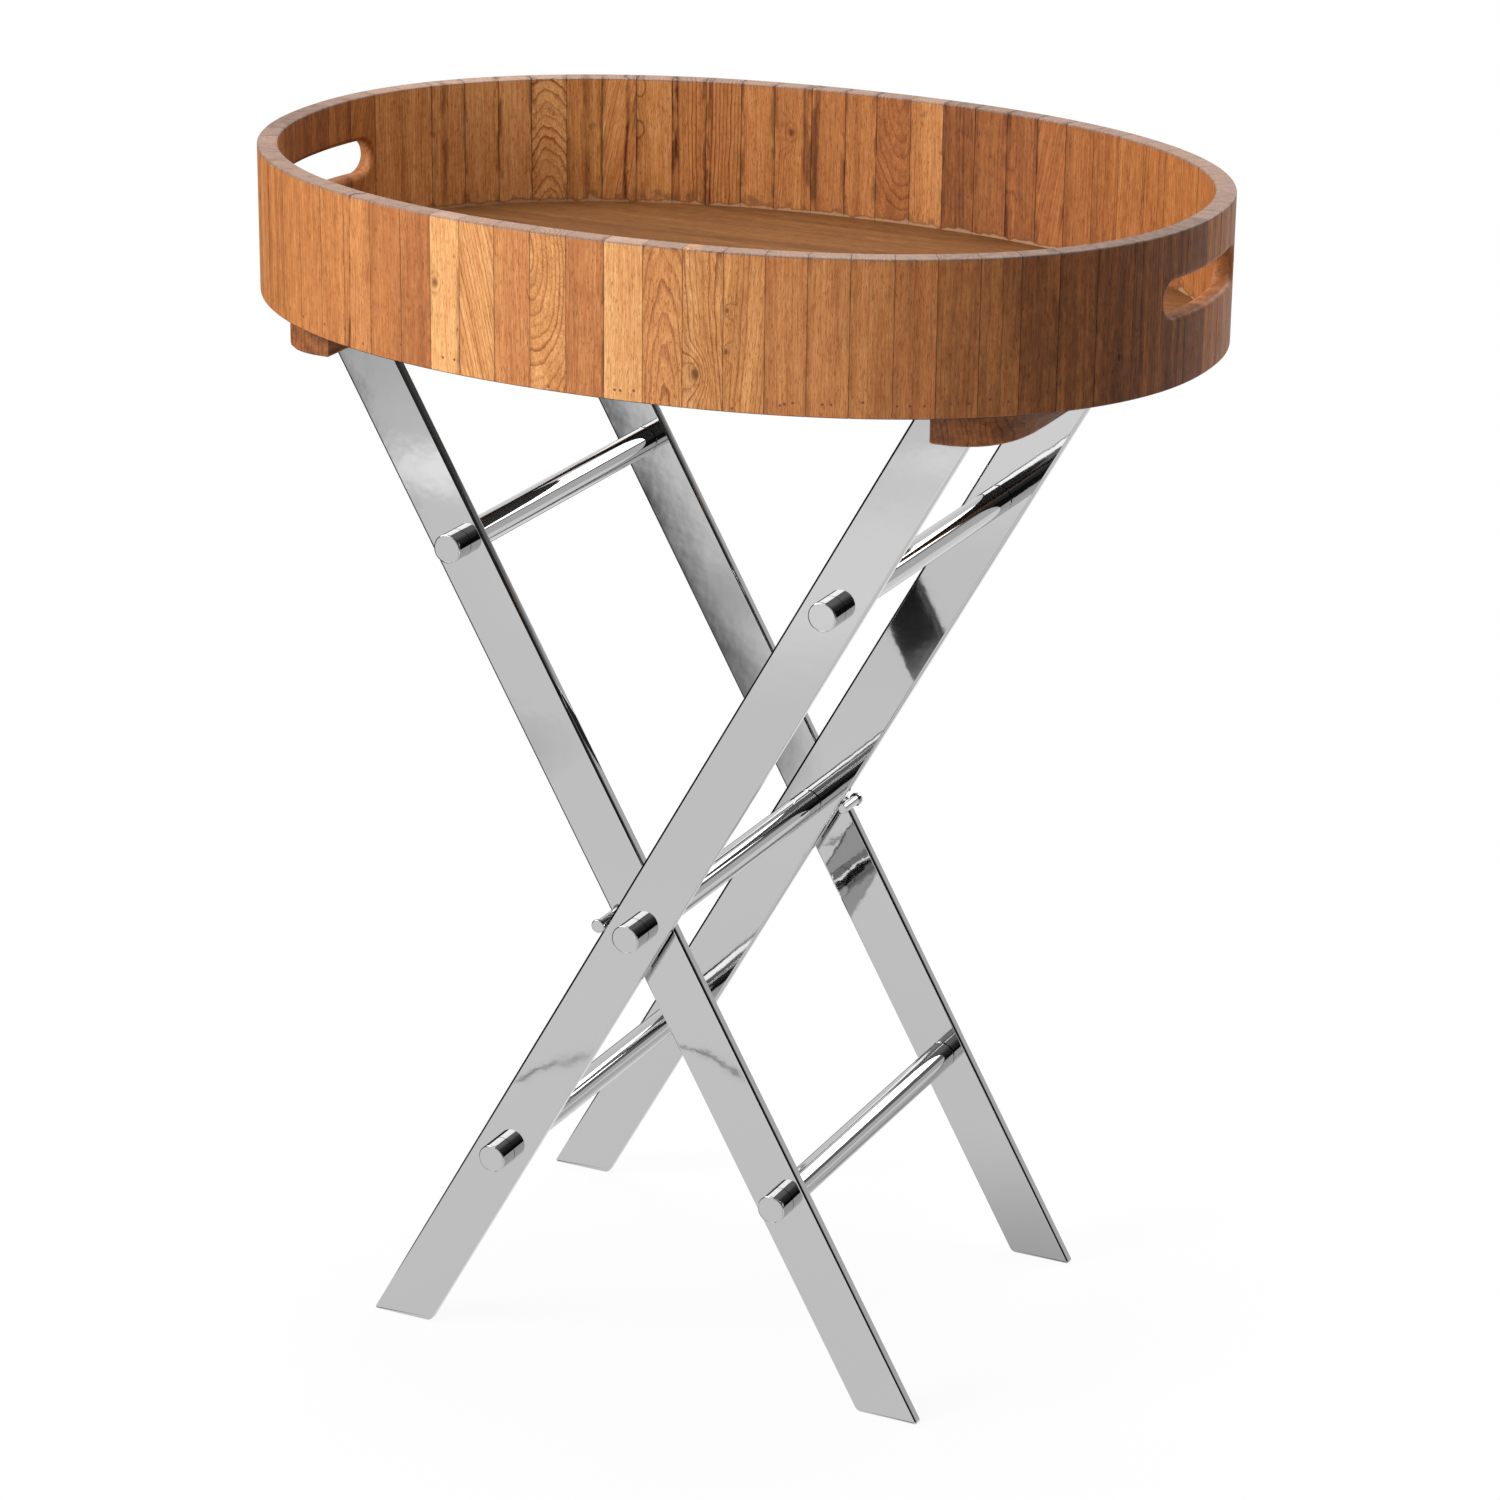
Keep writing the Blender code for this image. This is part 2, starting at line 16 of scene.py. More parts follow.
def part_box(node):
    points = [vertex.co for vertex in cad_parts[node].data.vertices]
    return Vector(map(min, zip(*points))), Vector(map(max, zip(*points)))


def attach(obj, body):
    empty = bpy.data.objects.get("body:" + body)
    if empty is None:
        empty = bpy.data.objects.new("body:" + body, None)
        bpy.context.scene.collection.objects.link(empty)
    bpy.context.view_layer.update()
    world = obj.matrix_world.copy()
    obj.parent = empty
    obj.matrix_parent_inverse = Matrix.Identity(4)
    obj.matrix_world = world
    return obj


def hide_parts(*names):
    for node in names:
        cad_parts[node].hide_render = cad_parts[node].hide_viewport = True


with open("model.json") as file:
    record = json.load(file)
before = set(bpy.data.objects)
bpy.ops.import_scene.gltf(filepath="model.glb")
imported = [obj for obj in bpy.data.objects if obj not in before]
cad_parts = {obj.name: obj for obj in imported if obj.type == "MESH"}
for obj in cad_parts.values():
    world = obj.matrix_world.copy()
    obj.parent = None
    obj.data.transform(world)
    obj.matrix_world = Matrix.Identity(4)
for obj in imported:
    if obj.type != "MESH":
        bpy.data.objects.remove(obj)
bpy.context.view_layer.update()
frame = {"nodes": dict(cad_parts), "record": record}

# %% [markdown]
# The camera comes first, because everything after it is judged through it. The photograph looks
# at the table from its right and from a little above, from about three metres away, so the
# lens is a long one. The numbers come from fitting a camera to the stand's edges.

# %% Camera
VIEW_AZIMUTH = math.radians(25.475)
VIEW_ELEVATION = math.radians(20.142)
VIEW_ROLL = math.radians(0.638)
VIEW_DISTANCE = 3.2298
VIEW_TARGET = Vector((0.0131, 0, 0.4145))
FOCAL_PIXELS = 4659
IMAGE_PIXELS = 1500
SENSOR_WIDTH = 36

toward_camera = Vector(
    (
        math.sin(VIEW_AZIMUTH) * math.cos(VIEW_ELEVATION),
        -math.cos(VIEW_AZIMUTH) * math.cos(VIEW_ELEVATION),
        math.sin(VIEW_ELEVATION),
    )
)
level_right = Vector((math.cos(VIEW_AZIMUTH), math.sin(VIEW_AZIMUTH), 0))
level_up = toward_camera.cross(level_right)
image_right = level_right * math.cos(VIEW_ROLL) + level_up * math.sin(VIEW_ROLL)
image_up = toward_camera.cross(image_right)
turn = Matrix((image_right, image_up, toward_camera)).transposed().to_4x4()
bpy.ops.object.camera_add()
camera = bpy.context.object
camera.name = "photograph_camera"
camera.matrix_world = Matrix.Translation(VIEW_TARGET + toward_camera * VIEW_DISTANCE) @ turn
camera.data.sensor_width = SENSOR_WIDTH
camera.data.lens = FOCAL_PIXELS * SENSOR_WIDTH / IMAGE_PIXELS
bpy.context.scene.camera = camera
bpy.context.scene.view_settings.view_transform = "Standard"
print("camera at", [round(value, 3) for value in camera.location], "lens", round(camera.data.lens, 1))

# %% [markdown]
# Three small helpers serve every material. One turns a hex colour, as a paint program shows it,
# into the linear numbers that Blender works in. One starts an empty material. The third adds a
# node, gives it its settings, fills its inputs, each with a plain value or with another node's
# output, and hands back its outputs.

# %% Helpers for materials
def colour(hex_text):
    """An sRGB hex colour as linear red, green, blue and alpha."""
    parts = [int(hex_text[place : place + 2], 16) / 255 for place in (1, 3, 5)]
    linear = [part / 12.92 if part <= 0.04045 else ((part + 0.055) / 1.055) ** 2.4 for part in parts]
    return (*linear, 1)


def add_node(tree, kind, inputs=(), **settings):
    """Adds a node with its settings and with values or links on its inputs. Gives its outputs."""
    made = tree.nodes.new("ShaderNode" + kind)
    for name, value in settings.items():
        setattr(made, name, value)
    for name, value in dict(inputs).items():
        if isinstance(value, bpy.types.NodeSocket):
            tree.links.new(value, made.inputs[name])
        else:
            made.inputs[name].default_value = value
    return made.outputs


def new_material(name):
    """An empty node material, and its tree."""
    material = bpy.data.materials.new(name)
    material.use_nodes = True
    material.node_tree.nodes.clear()
    return material, material.node_tree


print("white is", colour("#FFFFFF"), "and middle grey is", [round(part, 3) for part in colour("#808080")])

# %% [markdown]
# The studio is a white paper sweep in a dark room. The camera sees only white. Polished metal is
# shown the real room: the sweep is bright behind the table and a little greyer low on its right, it
# stops at a certain height there, and the room on the left and in front is dark. That dark room
# draws the thin black lines along the edges of the real bars. A picture of a studio could be
# wrapped round the world instead, but a few ramps over the directions say just what the bars
# need. Everything else is lit by a soft even grey.

# %% World
# how bright mirrors see the sweep and the dark room, and how bright everything else sees all of it
SWEEP_BRIGHT = 0.92
ROOM_DARK = 0.02
ROOM_LIGHT = 0.38
# a ramp's four numbers are where it starts and ends, and what it gives at those two places
ABOVE = {1: 0.12, 2: 0.36, 3: ROOM_DARK, 4: 0.35}
ABOVE_ON_THE_RIGHT = {1: 0.45, 2: 0.7, 3: 1.0, 4: 0.12}
BEHIND = {1: -0.2, 2: 0.5, 4: SWEEP_BRIGHT}
SWEEP_STOP = {1: 0.20, 2: 0.235, 3: 0.75, 4: 0.20}
ON_THE_RIGHT = {1: 0.1, 2: 0.42, 3: 1.0}
ON_THE_LEFT = {1: -0.8, 2: -0.55, 3: 0.03, 4: 1.0}

world = bpy.data.worlds.new("studio room")
world.use_nodes = True
world.node_tree.nodes.clear()
bpy.context.scene.world = world
room = world.node_tree
direction = add_node(room, "TexCoord")["Generated"]
sideways, forward, upward = add_node(room, "SeparateXYZ", {0: direction})
above = add_node(room, "MapRange", {"Value": upward, **ABOVE}, interpolation_type="SMOOTHSTEP")[0]
dimmed = add_node(room, "MapRange", {"Value": sideways, **ABOVE_ON_THE_RIGHT})[0]
above = add_node(room, "Math", {0: above, 1: dimmed}, operation="MULTIPLY")[0]
mirrored = {"Value": forward, **BEHIND, 3: above}
mirrored = add_node(room, "MapRange", mirrored, interpolation_type="SMOOTHSTEP")[0]
right = add_node(room, "MapRange", {"Value": upward, **SWEEP_STOP})[0]
right = {"Value": sideways, **ON_THE_RIGHT, 4: right}
right = add_node(room, "MapRange", right, interpolation_type="SMOOTHSTEP")[0]
left = add_node(room, "MapRange", {"Value": sideways, **ON_THE_LEFT})[0]
for share in (right, left):
    mirrored = add_node(room, "Math", {0: mirrored, 1: share}, operation="MULTIPLY")[0]
path = add_node(room, "LightPath")
seen = add_node(room, "Mix", {0: path["Is Glossy Ray"], 2: ROOM_LIGHT, 3: mirrored})[0]
seen = add_node(room, "Mix", {0: path["Is Camera Ray"], 2: seen, 3: 1.0})[0]
glow = add_node(room, "Background", {"Color": (1, 1, 1, 1), "Strength": seen})[0]
add_node(room, "OutputWorld", {"Surface": glow})
print("the world is lit to", ROOM_LIGHT)

# %% [markdown]
# The floor is a roll of white paper. One plane is enough for it, but it has the edges that a real
# roll has, because the bars show them.

# %% Floor
FLOOR_CORNERS = ((-1.7, -2.7), (1.3, 3.4))
FLOOR_UNDER_FEET = 0.0002

bpy.ops.object.select_all(action="DESELECT")
bpy.ops.mesh.primitive_plane_add(size=1)
floor = bpy.context.object
floor.name = "studio_floor"
(left, front), (right, back) = FLOOR_CORNERS
floor.scale = (right - left, back - front, 1)
floor.location = ((left + right) / 2, (front + back) / 2, -FLOOR_UNDER_FEET)
bpy.ops.object.transform_apply(location=True, rotation=True, scale=True)
paper, tree = new_material("white paper sweep")
floor.data.materials.append(paper)
print("the paper covers", FLOOR_CORNERS)

# %% [markdown]
# Mirrors see more on the floor than the camera does, because what lies round a polished bar makes
# its look. All of it comes from the place on the floor in metres. The paper is greyer on the far
# left. Beside the table on that side it is narrow, and the dark floor next to it draws the bars'
# left edges. That floor comes nearer on the left of a slanting line, which only the edges show and
# not the flat faces.

# %% Dark floor beside the paper
FAR_LEFT = {1: -1.18, 2: -1.55, 3: 1.0, 4: 0.70}
DARK_FLOOR_LEVEL = 0.03
SLANT = -0.713

place = add_node(tree, "TexCoord")["Object"]
sideways, forward = add_node(tree, "SeparateXYZ", {0: place})[:2]
slant = add_node(tree, "Math", {0: forward, 1: SLANT, 2: sideways}, operation="MULTIPLY_ADD")[0]
# each share rises from 0 to 1 between two places, in metres
shares = {}
for name, across, start, end in (
    ("beside", sideways, -0.60, -0.80),
    ("past the front", forward, -1.3, -1.1),
    ("near beside", sideways, -0.36, -0.46),
    ("left of the slant", slant, 0.15, 0.05),
    ("front of the bend", forward, -0.54, -0.55),
    ("left of the tail", sideways, -0.144, -0.152),
):
    shares[name] = add_node(tree, "MapRange", {"Value": across, 1: start, 2: end})[0]
far_strip = {0: shares["beside"], 1: shares["past the front"]}
far_strip = add_node(tree, "Math", far_strip, operation="MULTIPLY")[0]
near_strip = {0: shares["near beside"], 1: shares["left of the slant"]}
near_strip = add_node(tree, "Math", near_strip, operation="MULTIPLY")[0]
bare = add_node(tree, "Math", {0: far_strip, 1: near_strip}, operation="MAXIMUM")[0]
level = add_node(tree, "MapRange", {"Value": sideways, **FAR_LEFT})[0]
level = add_node(tree, "Mix", {0: bare, 2: level, 3: DARK_FLOOR_LEVEL})[0]
print("mirrors see the bare floor at", DARK_FLOOR_LEVEL)

# %% [markdown]
# A thin dark line lies on the paper in a bend, and both front bars show it as an uneven grey
# streak. It is the front half of a circle without its right end, shaken by noise about every
# 14 mm. Faint pools of light lie in front. They are the brighter patches and lines that the real
# bars show. Under the table and behind it the tray shades the paper, and the bars' right edges show
# that. A pool or a shade is its middle, the radius up to which it is full, the radius at which it
# ends, and what it adds.

# %% Dark line, pools of light and the tray's shade
DARK_LINE_MIDDLE = (-0.215, -0.54, 0)
DARK_LINE_RADIUS = 0.092
DARK_LINE_WANDER = 0.014
DARK_LINE_SHAKES = 70
DARK_LINE = {1: 0.0018, 2: 0.0045, 3: -0.8, 4: 0.0}
LIGHT_POOLS = (
    ((-1.19, -1.97, 0), 0.01, 0.15, 0.45),
    ((-0.62, -1.86, 0), 0.05, 0.50, 0.19),
    ((-0.69, -2.28, 0), 0.01, 0.10, 0.30),
    ((0.05, -2.0, 0), 0.25, 0.60, 0.70),
)
TRAY_SHADE = ((0.30, 0.34, 0), 0.18, 0.50, -0.35)

away = add_node(tree, "VectorMath", {0: place, 1: DARK_LINE_MIDDLE}, operation="DISTANCE")["Value"]
wander = add_node(tree, "TexNoise", {"Vector": place, "Scale": DARK_LINE_SHAKES, "Detail": 3})[0]
away = add_node(tree, "Math", {0: wander, 1: DARK_LINE_WANDER, 2: away}, operation="MULTIPLY_ADD")[0]
for operation, by in (("SUBTRACT", DARK_LINE_RADIUS + DARK_LINE_WANDER / 2), ("ABSOLUTE", 0)):
    away = add_node(tree, "Math", {0: away, 1: by}, operation=operation)[0]
line = add_node(tree, "MapRange", {"Value": away, **DARK_LINE})[0]
for share in (shares["front of the bend"], shares["left of the tail"]):
    line = add_node(tree, "Math", {0: line, 1: share}, operation="MULTIPLY")[0]
level = add_node(tree, "Math", {0: line, 1: level}, operation="ADD")[0]
for middle, near, reach, gain in (*LIGHT_POOLS, TRAY_SHADE):
    away = add_node(tree, "VectorMath", {0: place, 1: middle}, operation="DISTANCE")["Value"]
    pool = {"Value": away, 1: near, 2: reach, 3: gain, 4: 0.0}
    pool = add_node(tree, "MapRange", pool, interpolation_type="SMOOTHERSTEP")[0]
    level = add_node(tree, "Math", {0: pool, 1: level}, operation="ADD")[0]
print("mirrors see one dark line and", len(LIGHT_POOLS), "pools of light")

# %% [markdown]
# The paper's material sorts the rays. The camera sees an even white, and mirrors and glass see the
# levels from above. A small share of plain white paper is mixed in close to the table, and that
# share keeps the table's soft shadow. All other rays meet plain paper.

# %% Paper
FLOOR_SHADOW = 0.07
WHITE_SHARE = {1: 0.8, 2: 1.15, 3: 1 - FLOOR_SHADOW, 4: 1.0}
PAPER_WHITE = (0.8, 0.8, 0.8, 1)

path = add_node(tree, "LightPath")
share = path["Is Camera Ray"]
for ray in ("Is Glossy Ray", "Is Transmission Ray"):
    share = add_node(tree, "Math", {0: share, 1: path[ray]}, operation="ADD", use_clamp=True)[0]
away = add_node(tree, "VectorMath", {0: place}, operation="LENGTH")["Value"]
keep = add_node(tree, "MapRange", {"Value": away, **WHITE_SHARE})[0]
share = add_node(tree, "Math", {0: share, 1: keep}, operation="MULTIPLY")[0]
level = add_node(tree, "Mix", {0: path["Is Camera Ray"], 2: level, 3: 1.0})[0]
paint = add_node(tree, "BsdfDiffuse", {"Color": PAPER_WHITE})[0]
white = add_node(tree, "Emission", {"Color": (1, 1, 1, 1), "Strength": level})[0]
mixed = add_node(tree, "MixShader", {0: share, 1: paint, 2: white})[0]
add_node(tree, "OutputMaterial", {"Surface": mixed})
print("the paper keeps", FLOOR_SHADOW, "of the shadow")

# %% [markdown]
# A large soft key light from the left front gives the tray its bright left side and lets the
# right end fall into shade. A wide softbox overhead draws the white streak along each rod, and a
# low one at the left front puts the bright band on the round caps.

# %% Lights
# each light's place, the point that it looks at, its width and depth, and its power in watts
LIGHTS = {
    "key_softbox": ((-2.3, -2.1, 2.2), (0, 0, 0.6), (1.5, 1.5), 102),
    "top_softbox": ((0.0, 0.4, 2.9), (0, 0, 0.7), (1.9, 1.5), 64),
    "back_softbox": ((0.6, 2.6, 1.9), (0, 0, 0.6), (1.6, 0.9), 18),
    "front_softbox": ((-1.1, -2.3, 1.25), (0, 0, 0.4), (1.3, 1.2), 13),
}
for name, (place, target, (width, depth), power) in LIGHTS.items():
    bpy.ops.object.light_add(type="AREA", location=place)
    light = bpy.context.object
    light.name = name
    light.data.shape = "RECTANGLE"
    light.data.size = width
    light.data.size_y = depth
    light.data.energy = power
    light.rotation_euler = (Vector(target) - Vector(place)).to_track_quat("-Z", "Y").to_euler()
print("lit by", ", ".join(LIGHTS))

# %% [markdown]
# The stand's metal is flat steel bar and round rod, polished and chrome plated. Chrome
# mirrors what is around it and keeps a little more than half of the light. Polishing by
# hand leaves the faces faintly wavy, so the mirror images in them wander a little. The long waves
# are about 30 mm and the short ones about 9 mm, all less than a tenth of a millimetre high, and
# a fine haze of scratches blurs the image slightly.

# %% Chrome plated steel
CHROME_WAVES = ((0.033, 0.00008), (0.009, 0.00002))
CHROME_HAZE_SIZE = 0.11
CHROME_ROUGHNESS = {1: 0.3, 2: 0.7, 3: 0.02, 4: 0.06}


def make_chrome(name):
    """Polished and plated steel, with waves left by the polishing and a fine haze."""
    material, tree = new_material(name)
    place = add_node(tree, "TexCoord")["Object"]
    haze = add_node(tree, "TexNoise", {"Vector": place, "Scale": 1 / CHROME_HAZE_SIZE, "Detail": 3})[0]
    rough = add_node(tree, "MapRange", {"Value": haze, **CHROME_ROUGHNESS})[0]
    finish = {"Base Color": colour("#BEBEBE"), "Metallic": 1.0, "Roughness": rough}
    for size, depth in CHROME_WAVES:
        waves = add_node(tree, "TexNoise", {"Vector": place, "Scale": 1 / size, "Detail": 1.5})[0]
        bump = {"Strength": 1.0, "Distance": depth, "Height": waves}
        if "Normal" in finish:
            bump["Normal"] = finish["Normal"]
        finish["Normal"] = add_node(tree, "Bump", bump)[0]
    shader = add_node(tree, "BsdfPrincipled", finish)[0]
    add_node(tree, "OutputMaterial", {"Surface": shader})
    return material


chrome = make_chrome("chrome plated steel")
print("made", chrome.name)

# %% [markdown]
# Modelling starts with a few helpers that do what the hand does: select one piece and nothing
# else, pick edges or faces by where they lie, round those edges, step those faces in or out, cut
# along a plane, and take one shape out of another.

# %% Helpers for picking and shaping
NEAR = 0.00002


def alone(piece):
    """Selects one object and nothing else."""
    bpy.ops.object.select_all(action="DESELECT")
    piece.select_set(True)
    bpy.context.view_layer.objects.active = piece


def set_down(piece):
    """Writes a piece's place, turn and stretch into its mesh."""
    alone(piece)
    bpy.ops.object.transform_apply(location=True, rotation=True, scale=True)


def pick(piece, kind, wanted):
    """In edit mode, selects the edges or faces for which wanted is true, and nothing else."""
    bpy.ops.mesh.select_mode(type=kind)
    bpy.ops.mesh.select_all(action="DESELECT")
    shape = bmesh.from_edit_mesh(piece.data)
    parts = shape.edges if kind == "EDGE" else shape.faces
    found = [part for part in parts if wanted(part)]
    for part in found:
        part.select_set(True)
    shape.select_flush_mode()
    bmesh.update_edit_mesh(piece.data)
    return len(found)


def lies_at(edge, axis, value):
    """Whether both ends of an edge have this coordinate."""
    return all(abs(vertex.co[axis] - value) < NEAR for vertex in edge.verts)


def lies_out_at(edge, radius):
    """Whether both ends of an edge lie this far from the Y axis."""
    return all(abs(vertex.co.xz.length - radius) < NEAR for vertex in edge.verts)


def runs_along(edge, axis):
    """Whether an edge is parallel to an axis."""
    way = (edge.verts[1].co - edge.verts[0].co).normalized()
    return abs(way[axis]) > 0.999


def ease(piece, wanted, radius, segments):
    """In edit mode, rounds the edges for which wanted is true."""
    found = pick(piece, "EDGE", wanted)
    bpy.ops.mesh.bevel(offset=radius, segments=segments, affect="EDGES")
    return found


def step_face(piece, wanted, inset, move):
    """In edit mode, insets the faces for which wanted is true, and moves the inner part along Y."""
    pick(piece, "FACE", wanted)
    bpy.ops.mesh.inset(thickness=inset)
    bpy.ops.mesh.extrude_region_move(TRANSFORM_OT_translate={"value": (0, move, 0)})


def cut(place, way, clear=""):
    """In edit mode, cuts a whole piece along a plane. Can clear one side of it and close the end."""
    bpy.ops.mesh.select_all(action="SELECT")
    bpy.ops.mesh.bisect(
        plane_co=place,
        plane_no=way,
        use_fill=bool(clear),
        clear_inner=clear == "behind",
        clear_outer=clear == "ahead",
    )


def take_out(tool, piece, solver):
    """Leaves edit mode, takes a tool's shape out of a piece and removes the tool."""
    bpy.ops.object.mode_set(mode="OBJECT")
    alone(piece)
    gap = piece.modifiers.new("gap", "BOOLEAN")
    gap.object = tool
    gap.operation = "DIFFERENCE"
    gap.solver = solver
    bpy.ops.object.modifier_apply(modifier=gap.name)
    bpy.data.objects.remove(tool)


print("shapes within", NEAR, "m of a place count as there")

# %% [markdown]
# A piece starts as a block or a round bar. At its end it is shaded smooth with crisp edges. Then it
# rides on its body and replaces its solid.

# %% Helpers for starting and finishing a piece
def start_block(name, low, high):
    """A block between two opposite corners, open in edit mode."""
    middle = [(a + b) / 2 for a, b in zip(low, high)]
    size = [b - a for a, b in zip(low, high)]
    bpy.ops.object.select_all(action="DESELECT")
    bpy.ops.mesh.primitive_cube_add(size=1, location=middle, scale=size)
    block = bpy.context.object
    block.name = name
    set_down(block)
    bpy.ops.object.mode_set(mode="EDIT")
    return block


def start_round(name, radius, low, high, sides=96):
    """A round bar along Y between two places on that axis, open in edit mode."""
    bpy.ops.object.select_all(action="DESELECT")
    bpy.ops.mesh.primitive_cylinder_add(
        vertices=sides,
        radius=radius,
        depth=high - low,
        location=(0, (low + high) / 2, 0),
        rotation=(math.pi / 2, 0, 0),
    )
    piece = bpy.context.object
    piece.name = name
    set_down(piece)
    bpy.ops.object.mode_set(mode="EDIT")
    return piece


def smooth(piece, degrees=35):
    """Leaves edit mode and shades the piece smooth, with crisp edges, as if cut from flat stock."""
    bpy.ops.object.mode_set(mode="OBJECT")
    alone(piece)
    bpy.ops.object.shade_smooth_by_angle(angle=math.radians(degrees))
    level = piece.modifiers.new("level faces", "WEIGHTED_NORMAL")
    level.keep_sharp = True
    level.weight = 100
    bpy.ops.object.modifier_apply(modifier=level.name)


def level_flats(piece):
    """Gives the flat faces that look along Y exactly their own normal, so that they mirror truly."""
    normals = [corner.vector.copy() for corner in piece.data.corner_normals]
    for face in piece.data.polygons:
        if abs(face.normal.y) > 0.9999:
            for corner in face.loop_indices:
                normals[corner] = face.normal.copy()
    piece.data.normals_split_custom_set(normals)


def copy_to(pattern, name, place, turned=0, stretch=1):
    """A copy of a pattern with its own mesh, stretched along X, turned about Z and moved."""
    piece = pattern.copy()
    piece.data = pattern.data.copy()
    piece.name = name
    bpy.context.scene.collection.objects.link(piece)
    turn_about = Matrix.Rotation(turned, 4, "Z") @ Matrix.Diagonal((stretch, 1, 1, 1))
    piece.matrix_world = Matrix.Translation(place) @ turn_about
    set_down(piece)
    return piece


def finish_piece(piece, body, slot, *nodes):
    """The piece moves with its body and stands for its nodes. Its slot is not used."""
    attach(piece, body)
    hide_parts(*nodes)


print("helpers ready")

# %% [markdown]
# The stand's sizes follow from the camera fit, scaled so that the bars are 40 by 8 mm stock and the
# rods 20 mm. A reach is a distance from the pivot along a leaning bar.

# %% Sizes of the stand
BAR_WIDTH = 0.040
BAR_THICKNESS = 0.008
BAR_ROUGH_LENGTH = 1.2
BAR_CORNER_RADIUS = 0.0028
BAR_EDGE_RADIUS = 0.0018
STAND_HEIGHT = 0.7277
PIVOT_HEIGHT = 0.330
LEG_TOP_OUT = 0.2247
ROD_REACHES = {"top": 0.287, "low": -0.211}
ROD_RADIUS = 0.010
SPIGOT_RADIUS = 0.005
PIVOT_SPIGOT_RADIUS = 0.006
SEAT_GAP = 0.0003
CUT_BESIDE_HOLE = 0.0085
DRILL_OVERSHOOT = 0.002
LEAN = math.atan(LEG_TOP_OUT / (STAND_HEIGHT - PIVOT_HEIGHT))
print("the bars lean", round(math.degrees(LEAN), 2), "degrees")

# %% [markdown]
# Each bar is flat stock of 40 by 8 mm. It starts as a long box that leans about the pivot.
# Two level bisects cut its foot and its top, a bevel eases the four end corners, and a finer
# one breaks the edges all round. That fine rounding matters on polished metal, because it is
# what catches the dark room as a thin line. Three holes for the rods come last. A cut across
# the bar on both sides of each hole keeps the long faces plain, and so free of flaws.

# %% Bars
def bar_place(lean, reach):
    """The point on a leaning bar's middle line at this reach from the pivot, in the XZ plane."""
    return Vector((math.sin(lean) * reach, 0, PIVOT_HEIGHT + math.cos(lean) * reach))


def drill(piece, place, radius, low, high):
    """Bores a round hole along Y through a piece."""
    tool = start_round("drill", radius, low - DRILL_OVERSHOOT, high + DRILL_OVERSHOOT, 48)
    tool.location = place
    take_out(tool, piece, "MANIFOLD")


def add_bar(letter, row, lean):
    """One bar of a frame, at the depth where its solid lies."""
    node = f"frame_{letter}_{row}_bar"
    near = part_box(node)[0][1]
    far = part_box(node)[1][1]
    bpy.ops.object.select_all(action="DESELECT")
    bpy.ops.mesh.primitive_cube_add(
        size=1,
        location=(0, (near + far) / 2, PIVOT_HEIGHT),
        rotation=(0, lean, 0),
        scale=(BAR_WIDTH, far - near, BAR_ROUGH_LENGTH),
    )
    bar = bpy.context.object
    bar.name = f"polished_bar_{letter}_{row}"
    set_down(bar)
    bpy.ops.object.mode_set(mode="EDIT")
    cut((0, 0, 0), (0, 0, 1), "behind")
    cut((0, 0, STAND_HEIGHT), (0, 0, 1), "ahead")
    ease(bar, lambda edge: runs_along(edge, 1), BAR_CORNER_RADIUS, 6)
    ease(bar, lambda edge: lies_at(edge, 1, near) or lies_at(edge, 1, far), BAR_EDGE_RADIUS, 4)
    along = Vector((math.sin(lean), 0, math.cos(lean)))
    for reach in (0, *ROD_REACHES.values()):
        for beside in (-CUT_BESIDE_HOLE, CUT_BESIDE_HOLE):
            cut(bar_place(lean, reach + beside), along)
    bpy.ops.object.mode_set(mode="OBJECT")
    drill(bar, bar_place(lean, 0), PIVOT_SPIGOT_RADIUS + SEAT_GAP, near, far)
    for reach in ROD_REACHES.values():
        drill(bar, bar_place(lean, reach), SPIGOT_RADIUS + SEAT_GAP, near, far)
    smooth(bar)
    level_flats(bar)
    bar.data.materials.clear()
    bar.data.materials.append(chrome)
    finish_piece(bar, f"frame_{letter}", "stand_metal", node)
    return bar


for letter, lean in (("a", LEAN), ("b", -LEAN)):
    for row in ("front", "rear"):
        bar = add_bar(letter, row, lean)
        print(bar.name, "has", len(bar.data.polygons), "faces")

# %% [markdown]
# The rods are round bar of 20 mm, stepped down at each end to a spigot that runs through the
# flat bar and on into the cap. On a lathe that step is one cut. Here the end face is inset
# and then extruded. The caps are short slugs of the same bar, bored from behind. The lathe has
# rounded the edge of their face and left a fine groove just inside it, which shows as a thin
# dark ring.

# %% Rods and caps
ROD_CHAMFER = 0.0009
CAP_LENGTH = 0.015
CAP_CHAMFER = 0.0006
GROOVE_INSET = 0.0001
GROOVE_WIDTH = 0.0003
GROOVE_DEPTH = 0.0004
SPIGOT_GRIP = 0.010
CROSSING_GAP = 0.0065


def finish_round(piece, place, body, node):
    """Shading, place and chrome for a piece that was modelled round the Y axis."""
    smooth(piece)
    piece.location = place
    set_down(piece)
    piece.data.materials.append(chrome)
    finish_piece(piece, body, "stand_metal", node)


def add_rod(name, node, body, place, spigot, tip):
    """A rod with a spigot at each end, where its solid lies."""
    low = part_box(node)[0][1] + tip
    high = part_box(node)[1][1] - tip
    rod = start_round(name, ROD_RADIUS, low, high)
    for end, way in ((low, -1), (high, 1)):
        step_face(rod, lambda face: face.normal.y * way > 0.9, ROD_RADIUS - spigot, way * tip)
        ease(rod, lambda edge: lies_at(edge, 1, end) and lies_out_at(edge, ROD_RADIUS), ROD_CHAMFER, 3)
    finish_round(rod, place, body, node)


